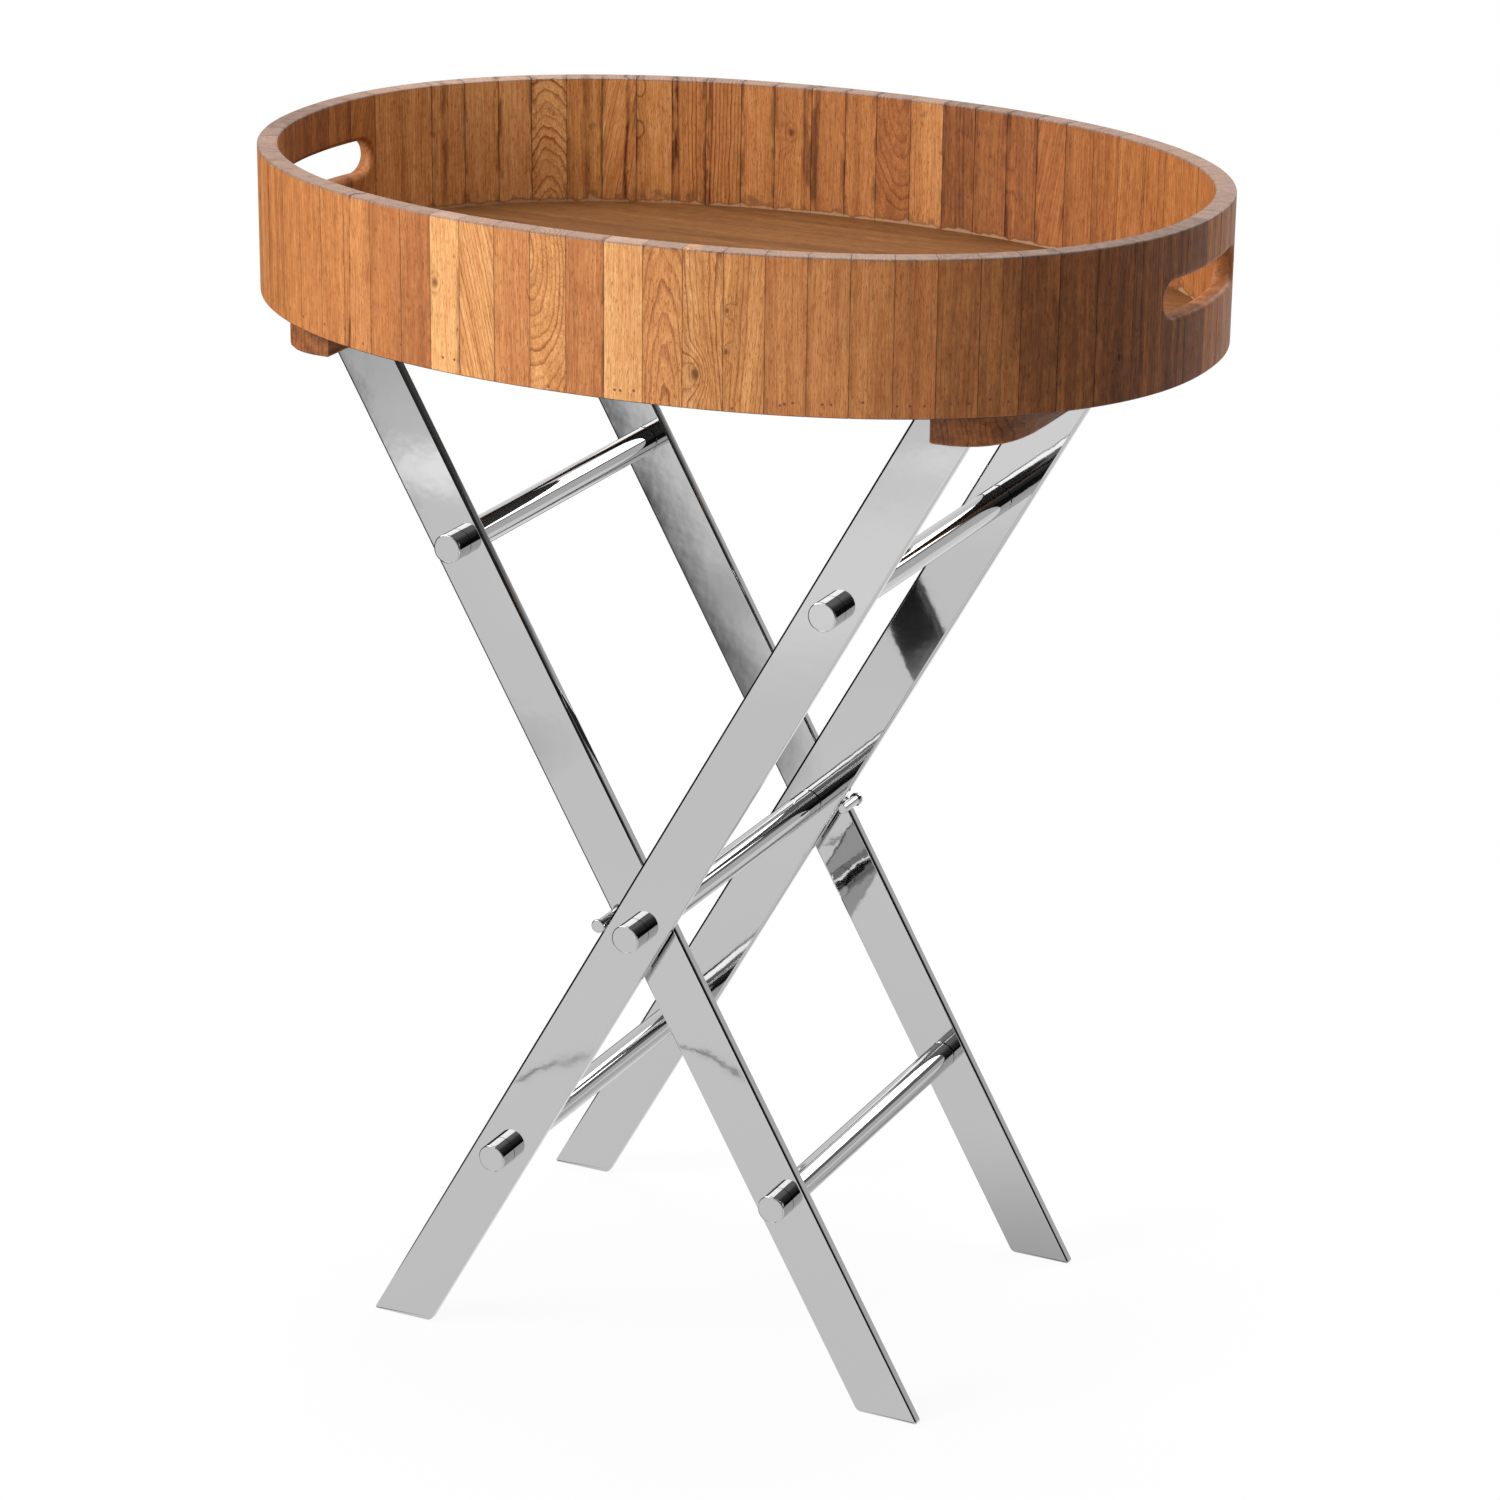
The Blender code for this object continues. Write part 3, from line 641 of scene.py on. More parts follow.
def lies_in_ring(face, radius):
    """Whether a face with four corners has its middle this far from the Y axis."""
    return len(face.verts) == 4 and abs(face.calc_center_median().xz.length - radius) < NEAR


def make_cap(name, spigot):
    """The pattern for a cap: its open end at y = 0, and its plain face towards -Y."""
    cap = start_round(name, ROD_RADIUS, -CAP_LENGTH, 0)
    bore = ROD_RADIUS - spigot - SEAT_GAP
    step_face(cap, lambda face: face.normal.y > 0.9, bore, -SPIGOT_GRIP - SEAT_GAP)
    ease(cap, lambda edge: lies_at(edge, 1, -CAP_LENGTH), CAP_CHAMFER, 3)
    pick(cap, "FACE", lambda face: face.normal.y < -0.99 and len(face.verts) > 4)
    bpy.ops.mesh.inset(thickness=GROOVE_INSET)
    bpy.ops.mesh.inset(thickness=GROOVE_WIDTH)
    groove = ROD_RADIUS - CAP_CHAMFER - GROOVE_INSET - GROOVE_WIDTH / 2
    pick(cap, "FACE", lambda face: face.normal.y < -0.99 and lies_in_ring(face, groove))
    bpy.ops.mesh.extrude_region_move(TRANSFORM_OT_translate={"value": (0, GROOVE_DEPTH, 0)})
    smooth(cap)
    cap.data.materials.append(chrome)
    return cap


cap_pattern = make_cap("cap_pattern", SPIGOT_RADIUS)
pivot_cap_pattern = make_cap("pivot_cap_pattern", PIVOT_SPIGOT_RADIUS)
crossing = 2 * BAR_THICKNESS + CROSSING_GAP
holders = [("pivot", pivot_cap_pattern, "frame_a", bar_place(0, 0), PIVOT_SPIGOT_RADIUS, crossing)]
for body, lean in (("frame_a", LEAN), ("frame_b", -LEAN)):
    for level, reach in ROD_REACHES.items():
        place = bar_place(lean, reach)
        holders.append((f"{body}_{level}", cap_pattern, body, place, SPIGOT_RADIUS, BAR_THICKNESS))
for prefix, pattern, body, place, spigot, through in holders:
    tip = through + SPIGOT_GRIP + 2 * SEAT_GAP
    add_rod(f"{prefix}_round_bar", f"{prefix}_rod", body, place, spigot, tip)
    for row, turned in (("front", 0), ("rear", math.pi)):
        node = f"{prefix}_{row}_cap"
        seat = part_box(node)[1][1] if row == "front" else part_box(node)[0][1]
        cap = copy_to(pattern, f"{prefix}_{row}_turned_cap", place + Vector((0, seat, 0)), turned)
        finish_piece(cap, body, "stand_metal", node)
for pattern in (cap_pattern, pivot_cap_pattern):
    bpy.data.objects.remove(pattern)
print("added", len(holders), "rods and", 2 * len(holders), "caps")

# %% [markdown]
# Two small parts sit in the crossings. A spacer washer on each side of the pivot keeps the bars
# from rubbing, and a headed pin beside each crossing stops the stand from opening further.

# %% Washers and stop pins
WASHER_RADIUS = 0.015
PIN_RADIUS = 0.0035
PIN_HEAD_RADIUS = 0.0048
PIN_HEAD_LENGTH = 0.0022
PIN_HEAD_CHAMFER = 0.0006
PIN_ROOT_CHAMFER = 0.0004

for row in ("front", "rear"):
    node = f"pivot_{row}_washer"
    washer = start_round(f"spacer_washer_{row}", WASHER_RADIUS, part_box(node)[0][1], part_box(node)[1][1])
    pick(washer, "FACE", lambda face: abs(face.normal.y) > 0.9)
    bpy.ops.mesh.inset(thickness=WASHER_RADIUS - PIVOT_SPIGOT_RADIUS - SEAT_GAP)
    bpy.ops.mesh.bridge_edge_loops()
    finish_round(washer, bar_place(0, 0), "frame_a", node)

for row, body, way in (("front", "frame_b", -1), ("rear", "frame_a", 1)):
    node = f"{row}_stop_pin"
    low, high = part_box(node)
    tip = low[1] if way < 0 else high[1]
    root = high[1] if way < 0 else low[1]
    under = tip - way * PIN_HEAD_LENGTH
    pin = start_round(f"headed_pin_{row}", PIN_HEAD_RADIUS, min(tip, under), max(tip, under), 48)
    step_face(pin, lambda face: face.normal.y * way < -0.9, PIN_HEAD_RADIUS - PIN_RADIUS, root - under)
    ease(pin, lambda edge: lies_at(edge, 1, tip), PIN_HEAD_CHAMFER, 3)
    ease(pin, lambda edge: lies_at(edge, 1, root), PIN_ROOT_CHAMFER, 2)
    finish_round(pin, ((low[0] + high[0]) / 2, 0, (low[2] + high[2]) / 2), body, node)
print("added two washers and two pins")

# %% [markdown]
# The tray is oiled teak. Teak is golden to reddish brown, with growth rings of a few millimetres,
# fine dark pores that run along the grain, and now and then a knot or a dark mineral streak. The
# wood looks the same on every side because it is a solid. A flat picture of wood would show that
# wrong at every edge, so the material reads a point attribute, log_place, that says where in a log
# each point of a board lies, with x and y across the log from its heart and z along it. A second
# attribute, wall_place, is the distance round the rim, the height above its foot and the depth
# into its wall, and it places the knots, streaks and glue marks. Each wood has five colours, from
# its darkest to its palest.

# %% Teak colours and patterns
GOLDEN_TEAK = ("#58371E", "#89582F", "#BA8047", "#DA9F60", "#EDBB7D")
REDDISH_TEAK = ("#502F1B", "#824D2B", "#B4703F", "#D18C56", "#E4AA75")
END_GRAIN_TEAK = ("#4E3D33", "#735D51", "#8F796D", "#9A8070", "#AC9484")
FLOOR_TEAK = ("#4C3019", "#644222", "#79522A", "#8F6538", "#A67A47")
# painted shade: this dark teak stands for the shade on the stave feet and on the floor's underside
SHADED_TEAK = ("#1C1613", "#241D18", "#2C241E", "#352B24", "#40352C")
SAPWOOD = "#E2AF74"
# each thing laid over the wood multiplies its colour by one of these
RING_SHADE = "#A06A42"
FIBRE_SHADE = "#DDBB99"
PORE_SHADE = "#9A7050"
STREAK_SHADE = "#7E6048"
KNOT_SHADE = "#6A4530"
SEAM_SHADE = "#5A3A26"
SMEAR_SHADE = "#6A5A4C"
# each pattern's width across the grain and length along it, in millimetres, and its finest detail
GRAIN = {
    "wander": (35, 250, 2),
    "jitter": (6, 22, 2),
    "drift": (8, 200, 3),
    "mottle": (3.5, 9, 2),
    "fibres": (0.9, 25, 3),
    "pores": (0.45, 4.5, 1),
}
print(len(GRAIN), "patterns make the grain")

# %% [markdown]
# Rings drawn round the log's heart give straight lines, arches or slanted lines, all by how the
# board was cut. A wave texture could draw them too, but here each ring fades in slowly and ends
# sharply, as late wood does, and some years are darker than others. Two of the patterns push the
# rings aside, so that they wander and tremble as grown wood does.

# %% Grain and growth rings
# how far each pattern pushes a ring, in metres
RING_PUSHES = {"wander": 0.012, "jitter": 0.0024}
LATE_WOOD = {1: 0.55, 2: 0.96, 3: 0.0, 4: 1.0}
DARK_YEARS = {1: 0.35, 2: 0.65, 3: 0.35, 4: 1.0}
YEAR_PACE = 0.45


def add_grain(tree, log):
    """Every grain pattern, as noise stretched along the log."""
    grain = {}
    for pattern, (across, along, detail) in GRAIN.items():
        scale = (1000 / across, 1000 / across, 1000 / along)
        scaled = add_node(tree, "VectorMath", {0: log, 1: scale}, operation="MULTIPLY")[0]
        noise = {"Vector": scaled, "Scale": 1, "Detail": detail}
        grain[pattern] = add_node(tree, "TexNoise", noise)[0]
    return grain


def add_heart_distance(tree, log, grain):
    """How far a point lies from the log's heart, pushed aside by two patterns."""
    flat = add_node(tree, "VectorMath", {0: log, 1: (1, 1, 0)}, operation="MULTIPLY")[0]
    radius = add_node(tree, "VectorMath", {0: flat}, operation="LENGTH")["Value"]
    for pattern, push in RING_PUSHES.items():
        pushed = {0: grain[pattern], 1: push, 2: radius}
        radius = add_node(tree, "Math", pushed, operation="MULTIPLY_ADD")[0]
    return radius


def add_rings(tree, radius, ring_width, figure):
    """How dark the growth rings are at a distance from the heart."""
    count = add_node(tree, "Math", {0: radius, 1: ring_width}, operation="DIVIDE")[0]
    phase = add_node(tree, "Math", {0: count}, operation="FRACT")[0]
    rings = add_node(tree, "MapRange", {"Value": phase, **LATE_WOOD}, interpolation_type="SMOOTHSTEP")[0]
    year = add_node(tree, "Math", {0: count, 1: YEAR_PACE}, operation="MULTIPLY")[0]
    year = add_node(tree, "TexNoise", {"W": year, "Scale": 1, "Detail": 1}, noise_dimensions="1D")[0]
    year = add_node(tree, "MapRange", {"Value": year, **DARK_YEARS})[0]
    for share in (year, figure):
        rings = add_node(tree, "Math", {0: rings, 1: share}, operation="MULTIPLY")[0]
    return rings


print("rings end sharply at", LATE_WOOD[2], "of their width")

# %% [markdown]
# A knot pushes the rings round it aside and has a dark core. A plug, which fills a hole in the
# wood, only shows as a thin ring. Two attributes hold the place of a stave's two knots, with the
# radius as their third number, below zero for a plug.

# %% Knots
KNOT_STRETCH = (1, 0.6, 0)
KNOT_TREMBLE = 0.7
KNOT_PUSH = {1: 0.0, 2: 3.2, 3: 2.4, 4: 0.0}
KNOT_CORE = {1: 0.2, 2: 0.8, 3: 0.75, 4: 0.0}
KNOT_RIM = {1: 0.03, 2: 0.22, 3: 0.6, 4: 0.0}
RIM_FADE = -0.6


def add_knots(tree, wall, grain, radius):
    """Pushes the rings round two knots. Gives the new distance and how dark the knots are."""
    darkness = 0.0
    for attribute in ("upper_knot", "lower_knot"):
        knot = add_node(tree, "Attribute", attribute_name=attribute)["Vector"]
        marked = add_node(tree, "SeparateXYZ", {0: knot})["Z"]
        size = add_node(tree, "Math", {0: marked}, operation="ABSOLUTE")[0]
        off = wall
        for operation, by in (("SUBTRACT", knot), ("MULTIPLY", KNOT_STRETCH)):
            off = add_node(tree, "VectorMath", {0: off, 1: by}, operation=operation)[0]
        off = add_node(tree, "VectorMath", {0: off}, operation="LENGTH")["Value"]
        off = add_node(tree, "Math", {0: off, 1: size}, operation="DIVIDE")[0]
        off = {0: grain["jitter"], 1: KNOT_TREMBLE, 2: off}
        off = add_node(tree, "Math", off, operation="MULTIPLY_ADD")[0]
        off = add_node(tree, "Math", {0: off, 1: KNOT_TREMBLE / 2}, operation="SUBTRACT")[0]
        push = add_node(tree, "MapRange", {"Value": off, **KNOT_PUSH}, interpolation_type="SMOOTHSTEP")[0]
        radius = add_node(tree, "Math", {0: push, 1: size, 2: radius}, operation="MULTIPLY_ADD")[0]
        core = add_node(tree, "MapRange", {"Value": off, **KNOT_CORE}, interpolation_type="SMOOTHSTEP")[0]
        whole = add_node(tree, "Math", {0: marked, 1: 0.0}, operation="GREATER_THAN")[0]
        rim = add_node(tree, "Math", {0: off, 1: 1.0}, operation="SUBTRACT")[0]
        rim = add_node(tree, "Math", {0: rim}, operation="ABSOLUTE")[0]
        rim = add_node(tree, "MapRange", {"Value": rim, **KNOT_RIM})[0]
        # a knot's own rim is fainter than a plug's
        fade = add_node(tree, "Math", {0: whole, 1: RIM_FADE, 2: 1.0}, operation="MULTIPLY_ADD")[0]
        for part, share in ((core, whole), (rim, fade)):
            part = {0: part, 1: share, 2: darkness}
            darkness = add_node(tree, "Math", part, operation="MULTIPLY_ADD")[0]
    return radius, darkness


print("a knot pushes rings up to", KNOT_PUSH[2], "times its radius away")

# %% [markdown]
# Streaks and seams need to know where they are on the rim. A streak is a band at one distance
# round it, broken up along its length. A seam is the thin dark glue line between two boards,
# stronger in some places than in others, and on the far side dirt is smeared beside it.

# %% Streaks, seams and smears
STREAK_WANDER = 0.012
STREAK_BAND = {1: 0.2, 2: 1.0, 3: 1.0, 4: 0.0}
STREAK_BREAKS = {1: 0.36, 2: 0.6, 3: 0.25, 4: 1.0}
SEAM_LINE = {1: 0.0001, 2: 0.0006, 3: 1.0, 4: 0.0}
SEAM_SWELLS = {1: 0.35, 2: 0.6, 3: 0.1, 4: 1.0}
CLEAN_SEAM = 0.3
GRIME_IN_SEAM = 0.6
SMEAR_REACH = 0.0045
SMEAR_PATCHES = {1: 0.46, 2: 0.56, 3: 0.0, 4: 1.0}


def add_streak(tree, grain, round_rim):
    """A stave's streak: above zero where it is dark, and below zero where it is pale."""
    stain = add_node(tree, "Attribute", attribute_name="stave_stain")["Vector"]
    middle, half_width, strength = add_node(tree, "SeparateXYZ", {0: stain})
    across = {0: grain["drift"], 1: STREAK_WANDER, 2: round_rim}
    across = add_node(tree, "Math", across, operation="MULTIPLY_ADD")[0]
    steps = (("SUBTRACT", middle), ("SUBTRACT", STREAK_WANDER / 2), ("ABSOLUTE", 0), ("DIVIDE", half_width))
    for operation, by in steps:
        across = add_node(tree, "Math", {0: across, 1: by}, operation=operation)[0]
    band = add_node(tree, "MapRange", {"Value": across, **STREAK_BAND})[0]
    broken = add_node(tree, "MapRange", {"Value": grain["jitter"], **STREAK_BREAKS})[0]
    for share in (broken, strength):
        band = add_node(tree, "Math", {0: band, 1: share}, operation="MULTIPLY")[0]
    return band


def add_seams(tree, grain):
    """The glue line along a board's two edges, and the dirt beside it."""
    board = add_node(tree, "Attribute", attribute_name="board_place")["Vector"]
    from_middle, reach, grime = add_node(tree, "SeparateXYZ", {0: board})
    from_middle = add_node(tree, "Math", {0: from_middle}, operation="ABSOLUTE")[0]
    gap = add_node(tree, "Math", {0: reach, 1: from_middle}, operation="SUBTRACT")[0]
    seam = add_node(tree, "MapRange", {"Value": gap, **SEAM_LINE})[0]
    worn = {0: grime, 1: GRIME_IN_SEAM, 2: CLEAN_SEAM}
    worn = add_node(tree, "Math", worn, operation="MULTIPLY_ADD")[0]
    uneven = add_node(tree, "MapRange", {"Value": grain["drift"], **SEAM_SWELLS})[0]
    for share in (worn, uneven):
        seam = add_node(tree, "Math", {0: seam, 1: share}, operation="MULTIPLY")[0]
    smear = add_node(tree, "MapRange", {"Value": gap, 1: 0.0, 2: SMEAR_REACH, 3: grime, 4: 0.0})[0]
    patchy = add_node(tree, "MapRange", {"Value": grain["jitter"], **SMEAR_PATCHES})[0]
    smear = add_node(tree, "Math", {0: smear, 1: patchy}, operation="MULTIPLY")[0]
    return seam, smear


print("a seam reaches", SEAM_LINE[2], "m into each board")

# %% [markdown]
# Glue and dust are left along the inner foot, where the floor meets the wall. They lie only on the
# wall's inner face, thicker towards the floor. The brown crust is partly glue and partly painted
# shade in that corner, and the paler crumbs in it are glue and dust. Both come from one noise, cut
# at two heights.

# %% Glue and painted corner shade along the foot
FLOOR_LEVEL = 0.0125
INNER_FACE = 0.0134
# how the noise is raised or lowered over the height, and then its two cuts with their colours
CRUMB_LEVELS = ({1: FLOOR_LEVEL, 2: 0.024, 3: 0.0, 4: -0.25}, {1: FLOOR_LEVEL, 2: 0.0148, 3: 0.16, 4: 0.0})
# the crust is partly glue and partly painted shade in the corner where the floor meets the wall
CRUST_AND_CORNER_SHADE = ({1: 0.41, 2: 0.49, 3: 0.0, 4: 0.6}, "#7C4F30")
CRUMBS = ({1: 0.54, 2: 0.60, 3: 0.0, 4: 0.6}, "#C99F7A")


def add_glue_and_corner_shade(tree, wall, coat):
    """Lays the glue marks, with the painted shade of the inner corner, over a wood's colour."""
    height, depth = add_node(tree, "SeparateXYZ", {0: wall})[1:]
    crumbs = add_node(tree, "TexNoise", {"Vector": wall, "Scale": 70, "Detail": 4})[0]
    for ramp in CRUMB_LEVELS:
        more = add_node(tree, "MapRange", {"Value": height, **ramp})[0]
        crumbs = add_node(tree, "Math", {0: crumbs, 1: more}, operation="ADD")[0]
    inner = add_node(tree, "Math", {0: depth, 1: INNER_FACE}, operation="GREATER_THAN")[0]
    for ramp, hex_text in (CRUST_AND_CORNER_SHADE, CRUMBS):
        patch = add_node(tree, "MapRange", {"Value": crumbs, **ramp})[0]
        patch = add_node(tree, "Math", {0: patch, 1: inner}, operation="MULTIPLY")[0]
        patch = {0: patch, 6: coat, 7: colour(hex_text)}
        coat = add_node(tree, "Mix", patch, data_type="RGBA")[2]
    return coat


print("the glue lies up from", FLOOR_LEVEL * 1000, "mm above the foot")

# %% [markdown]
# Now the wood itself. The ground colour is read from the five colours by the board's tone, moved
# by broad drift, small mottle and fibres. Everything else is multiplied over it, as a glaze is.
# The pores are sunk by less than a tenth of a millimetre, which breaks the low sheen of the oil.
# The floor and the battens have no attributes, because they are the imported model's own meshes, so
# they read Object coordinates, turned so that their grain runs along them.

# %% Teak
# how far each pattern moves the shade, from the middle of its swing
GROUND_PUSHES = {"drift": 0.55, "mottle": 0.3, "fibres": 0.24}
FIBRE_MARKS = {1: 0.38, 2: 0.62, 3: 0.0, 4: 0.7}
PORE_MARKS = {1: 0.57, 2: 0.68, 3: 0.0, 4: 0.6}
OIL_ROUGHNESS = {1: 0.3, 2: 0.7, 3: 0.44, 4: 0.60}
OIL = {"IOR": 1.48, "Specular IOR Level": 0.3}
PORE_SINK = -0.6
GRAIN_BUMP = {"Strength": 0.5, "Distance": 0.00012}


def add_ground(tree, grain, tone, warmth, golds, reds):
    """The wood's ground colour, between its golden and its reddish colours."""
    shade = tone
    for pattern, push in GROUND_PUSHES.items():
        swing = add_node(tree, "Math", {0: grain[pattern], 1: 0.5}, operation="SUBTRACT")[0]
        shade = add_node(tree, "Math", {0: swing, 1: push, 2: shade}, operation="MULTIPLY_ADD")[0]
    grounds = []
    for stops in (golds, reds):
        ground = add_node(tree, "ValToRGB", {"Fac": shade})["Color"]
        elements = ground.node.color_ramp.elements
        while len(elements) < len(stops):
            elements.new(0.5)
        for step, (element, hex_text) in enumerate(zip(elements, stops)):
            element.position = step / (len(stops) - 1)
            element.color = colour(hex_text)
        grounds.append(ground)
    blend = {0: warmth, 6: grounds[0], 7: grounds[1]}
    return add_node(tree, "Mix", blend, data_type="RGBA")[2]


def make_teak(name, golds, reds, place=None, look=None, underside=None, ring_width=0.003):
    """Oiled teak. With a turn, a shift and a look it reads Object coordinates, otherwise attributes."""
    material, tree = new_material(name)
    body = add_node(tree, "TexCoord")["Object"]
    if place:
        log = add_node(tree, "Mapping", {"Vector": body, "Rotation": place[0], "Location": place[1]})[0]
        tone, warmth, figure = look
    else:
        log = add_node(tree, "Attribute", attribute_name="log_place")["Vector"]
        wall = add_node(tree, "Attribute", attribute_name="wall_place")["Vector"]
        looks = add_node(tree, "Attribute", attribute_name="stave_look")["Vector"]
        tone, warmth, figure = add_node(tree, "SeparateXYZ", {0: looks})
    grain = add_grain(tree, log)
    radius = add_heart_distance(tree, log, grain)
    if not place:
        radius, knots = add_knots(tree, wall, grain, radius)
    rings = add_rings(tree, radius, ring_width, figure)
    coat = add_ground(tree, grain, tone, warmth, golds, reds)
    fine = add_node(tree, "MapRange", {"Value": grain["fibres"], **FIBRE_MARKS})[0]
    pores = add_node(tree, "MapRange", {"Value": grain["pores"], **PORE_MARKS})[0]
    layers = [(rings, RING_SHADE), (fine, FIBRE_SHADE), (pores, PORE_SHADE)]
    if not place:
        round_rim = add_node(tree, "SeparateXYZ", {0: wall})[0]
        band = add_streak(tree, grain, round_rim)
        dark, pale = [
            add_node(tree, "MapRange", {"Value": band, 1: 0.0, 2: full, 3: 0.0, 4: 1.0})[0]
            for full in (1.0, -1.0)
        ]
        coat = add_node(tree, "Mix", {0: pale, 6: coat, 7: colour(SAPWOOD)}, data_type="RGBA")[2]
        seam, smear = add_seams(tree, grain)
        layers += [(dark, STREAK_SHADE), (knots, KNOT_SHADE), (seam, SEAM_SHADE), (smear, SMEAR_SHADE)]
    for factor, hex_text in layers:
        coat = {0: factor, 6: coat, 7: colour(hex_text)}
        coat = add_node(tree, "Mix", coat, data_type="RGBA", blend_type="MULTIPLY")[2]
    if not place:
        coat = add_glue_and_corner_shade(tree, wall, coat)
    # painted shade: below this height the wood turns to a colour of the dark shaded teak, for the floor's
    # underside
    if underside:
        level = add_node(tree, "SeparateXYZ", {0: body})["Z"]
        under = add_node(tree, "Math", {0: level, 1: underside}, operation="LESS_THAN")[0]
        coat = add_node(tree, "Mix", {0: under, 6: coat, 7: colour(SHADED_TEAK[2])}, data_type="RGBA")[2]
    rough = add_node(tree, "MapRange", {"Value": grain["fibres"], **OIL_ROUGHNESS})[0]
    sunk = add_node(tree, "Math", {0: pores, 1: PORE_SINK, 2: grain["fibres"]}, operation="MULTIPLY_ADD")[0]
    bump = add_node(tree, "Bump", {**GRAIN_BUMP, "Height": sunk})[0]
    finish = {"Base Color": coat, "Roughness": rough, "Normal": bump, **OIL}
    shader = add_node(tree, "BsdfPrincipled", finish)[0]
    add_node(tree, "OutputMaterial", {"Surface": shader})
    return material


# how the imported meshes' coordinates turn and shift into a log, and the tone, warmth and figure
ALONG_X = ((0, math.pi / 2, 0), (0.68, 0.01, 0))
ALONG_Y = ((math.pi / 2, 0, 0), (0.05, 0.70, 0))
FLOOR_LOOK = (0.45, 0.5, 0.45)
BATTEN_LOOK = (0.30, 0.5, 0.7)
# the height below which the floor's underside is painted dark as shade
FLOOR_UNDERSIDE = 0.7283
FLOOR_RINGS = 0.005

teak = make_teak("oiled teak", GOLDEN_TEAK, REDDISH_TEAK)
end_teak = make_teak("oiled teak end grain", END_GRAIN_TEAK, END_GRAIN_TEAK)
shaded_teak = make_teak("teak foot in painted shade", SHADED_TEAK, SHADED_TEAK)
floor_place = (ALONG_X, FLOOR_LOOK, FLOOR_UNDERSIDE, FLOOR_RINGS)
floor_teak = make_teak("oiled teak floor", FLOOR_TEAK, FLOOR_TEAK, *floor_place)
batten_teak = make_teak("oiled teak batten", GOLDEN_TEAK, REDDISH_TEAK, ALONG_Y, BATTEN_LOOK)
print("made", teak.name, "and its four relatives")

# %% [markdown]
# The rim stands on a superellipse, an oval with slightly squared shoulders. A cooper planes
# straight staves and pulls them round. We do the same: the staves are modelled flat, as a fence
# along X with their outer face at y = 0, and a Curve modifier then bends the fence round the
# oval. The curve runs on past one full turn, because the staves of the right end lie across its
# start.

# %% The oval
TRAY_LENGTH = 0.672
TRAY_WIDTH = 0.479
TRAY_EXPONENT = 2.166
RIM_WALL = 0.0138
RIM_HEIGHT = 0.102
TRAY_BOTTOM = 0.728
STAVE_COUNT = 70
HANDLE_REACH = 3
OVAL_PIECES = 7200
WALK_TURNS = 1.12
WALK_STEP = 0.0012


def oval_point(angle):
    """The outline's point for one angle."""
    power = 2 / TRAY_EXPONENT
    across = math.copysign(abs(math.cos(angle)) ** power, math.cos(angle))
    up = math.copysign(abs(math.sin(angle)) ** power, math.sin(angle))
    return Vector((TRAY_LENGTH / 2 * across, TRAY_WIDTH / 2 * up, 0))


def oval_walk(turns, step):
    """Points a fixed step apart round the outline from its +X end, and the length of one turn."""
    points = [oval_point(math.tau * part / OVAL_PIECES) for part in range(round(OVAL_PIECES * turns) + 1)]
    lengths = [0]
    for near, far in zip(points, points[1:]):
        lengths.append(lengths[-1] + (far - near).length)
    walk = []
    place = 0
    part = 0
    while place < lengths[-1]:
        while lengths[part + 1] < place:
            part += 1
        share = (place - lengths[part]) / (lengths[part + 1] - lengths[part])
        walk.append(points[part].lerp(points[part + 1], share))
        place += step
    return walk, lengths[OVAL_PIECES]


walk, perimeter = oval_walk(WALK_TURNS, WALK_STEP)
STAVE_WIDTH = perimeter / STAVE_COUNT
outline = bpy.data.curves.new("rim outline", "CURVE")
outline.dimensions = "3D"
outline.twist_mode = "Z_UP"
spline = outline.splines.new("POLY")
spline.points.add(len(walk) - 1)
for point, place in zip(spline.points, walk):
    point.co = (*place, 1)
rim_outline = bpy.data.objects.new("rim_outline", outline)
bpy.context.scene.collection.objects.link(rim_outline)
print("one turn is", round(perimeter, 4), "m, and a stave is", round(STAVE_WIDTH * 1000, 2), "mm wide")
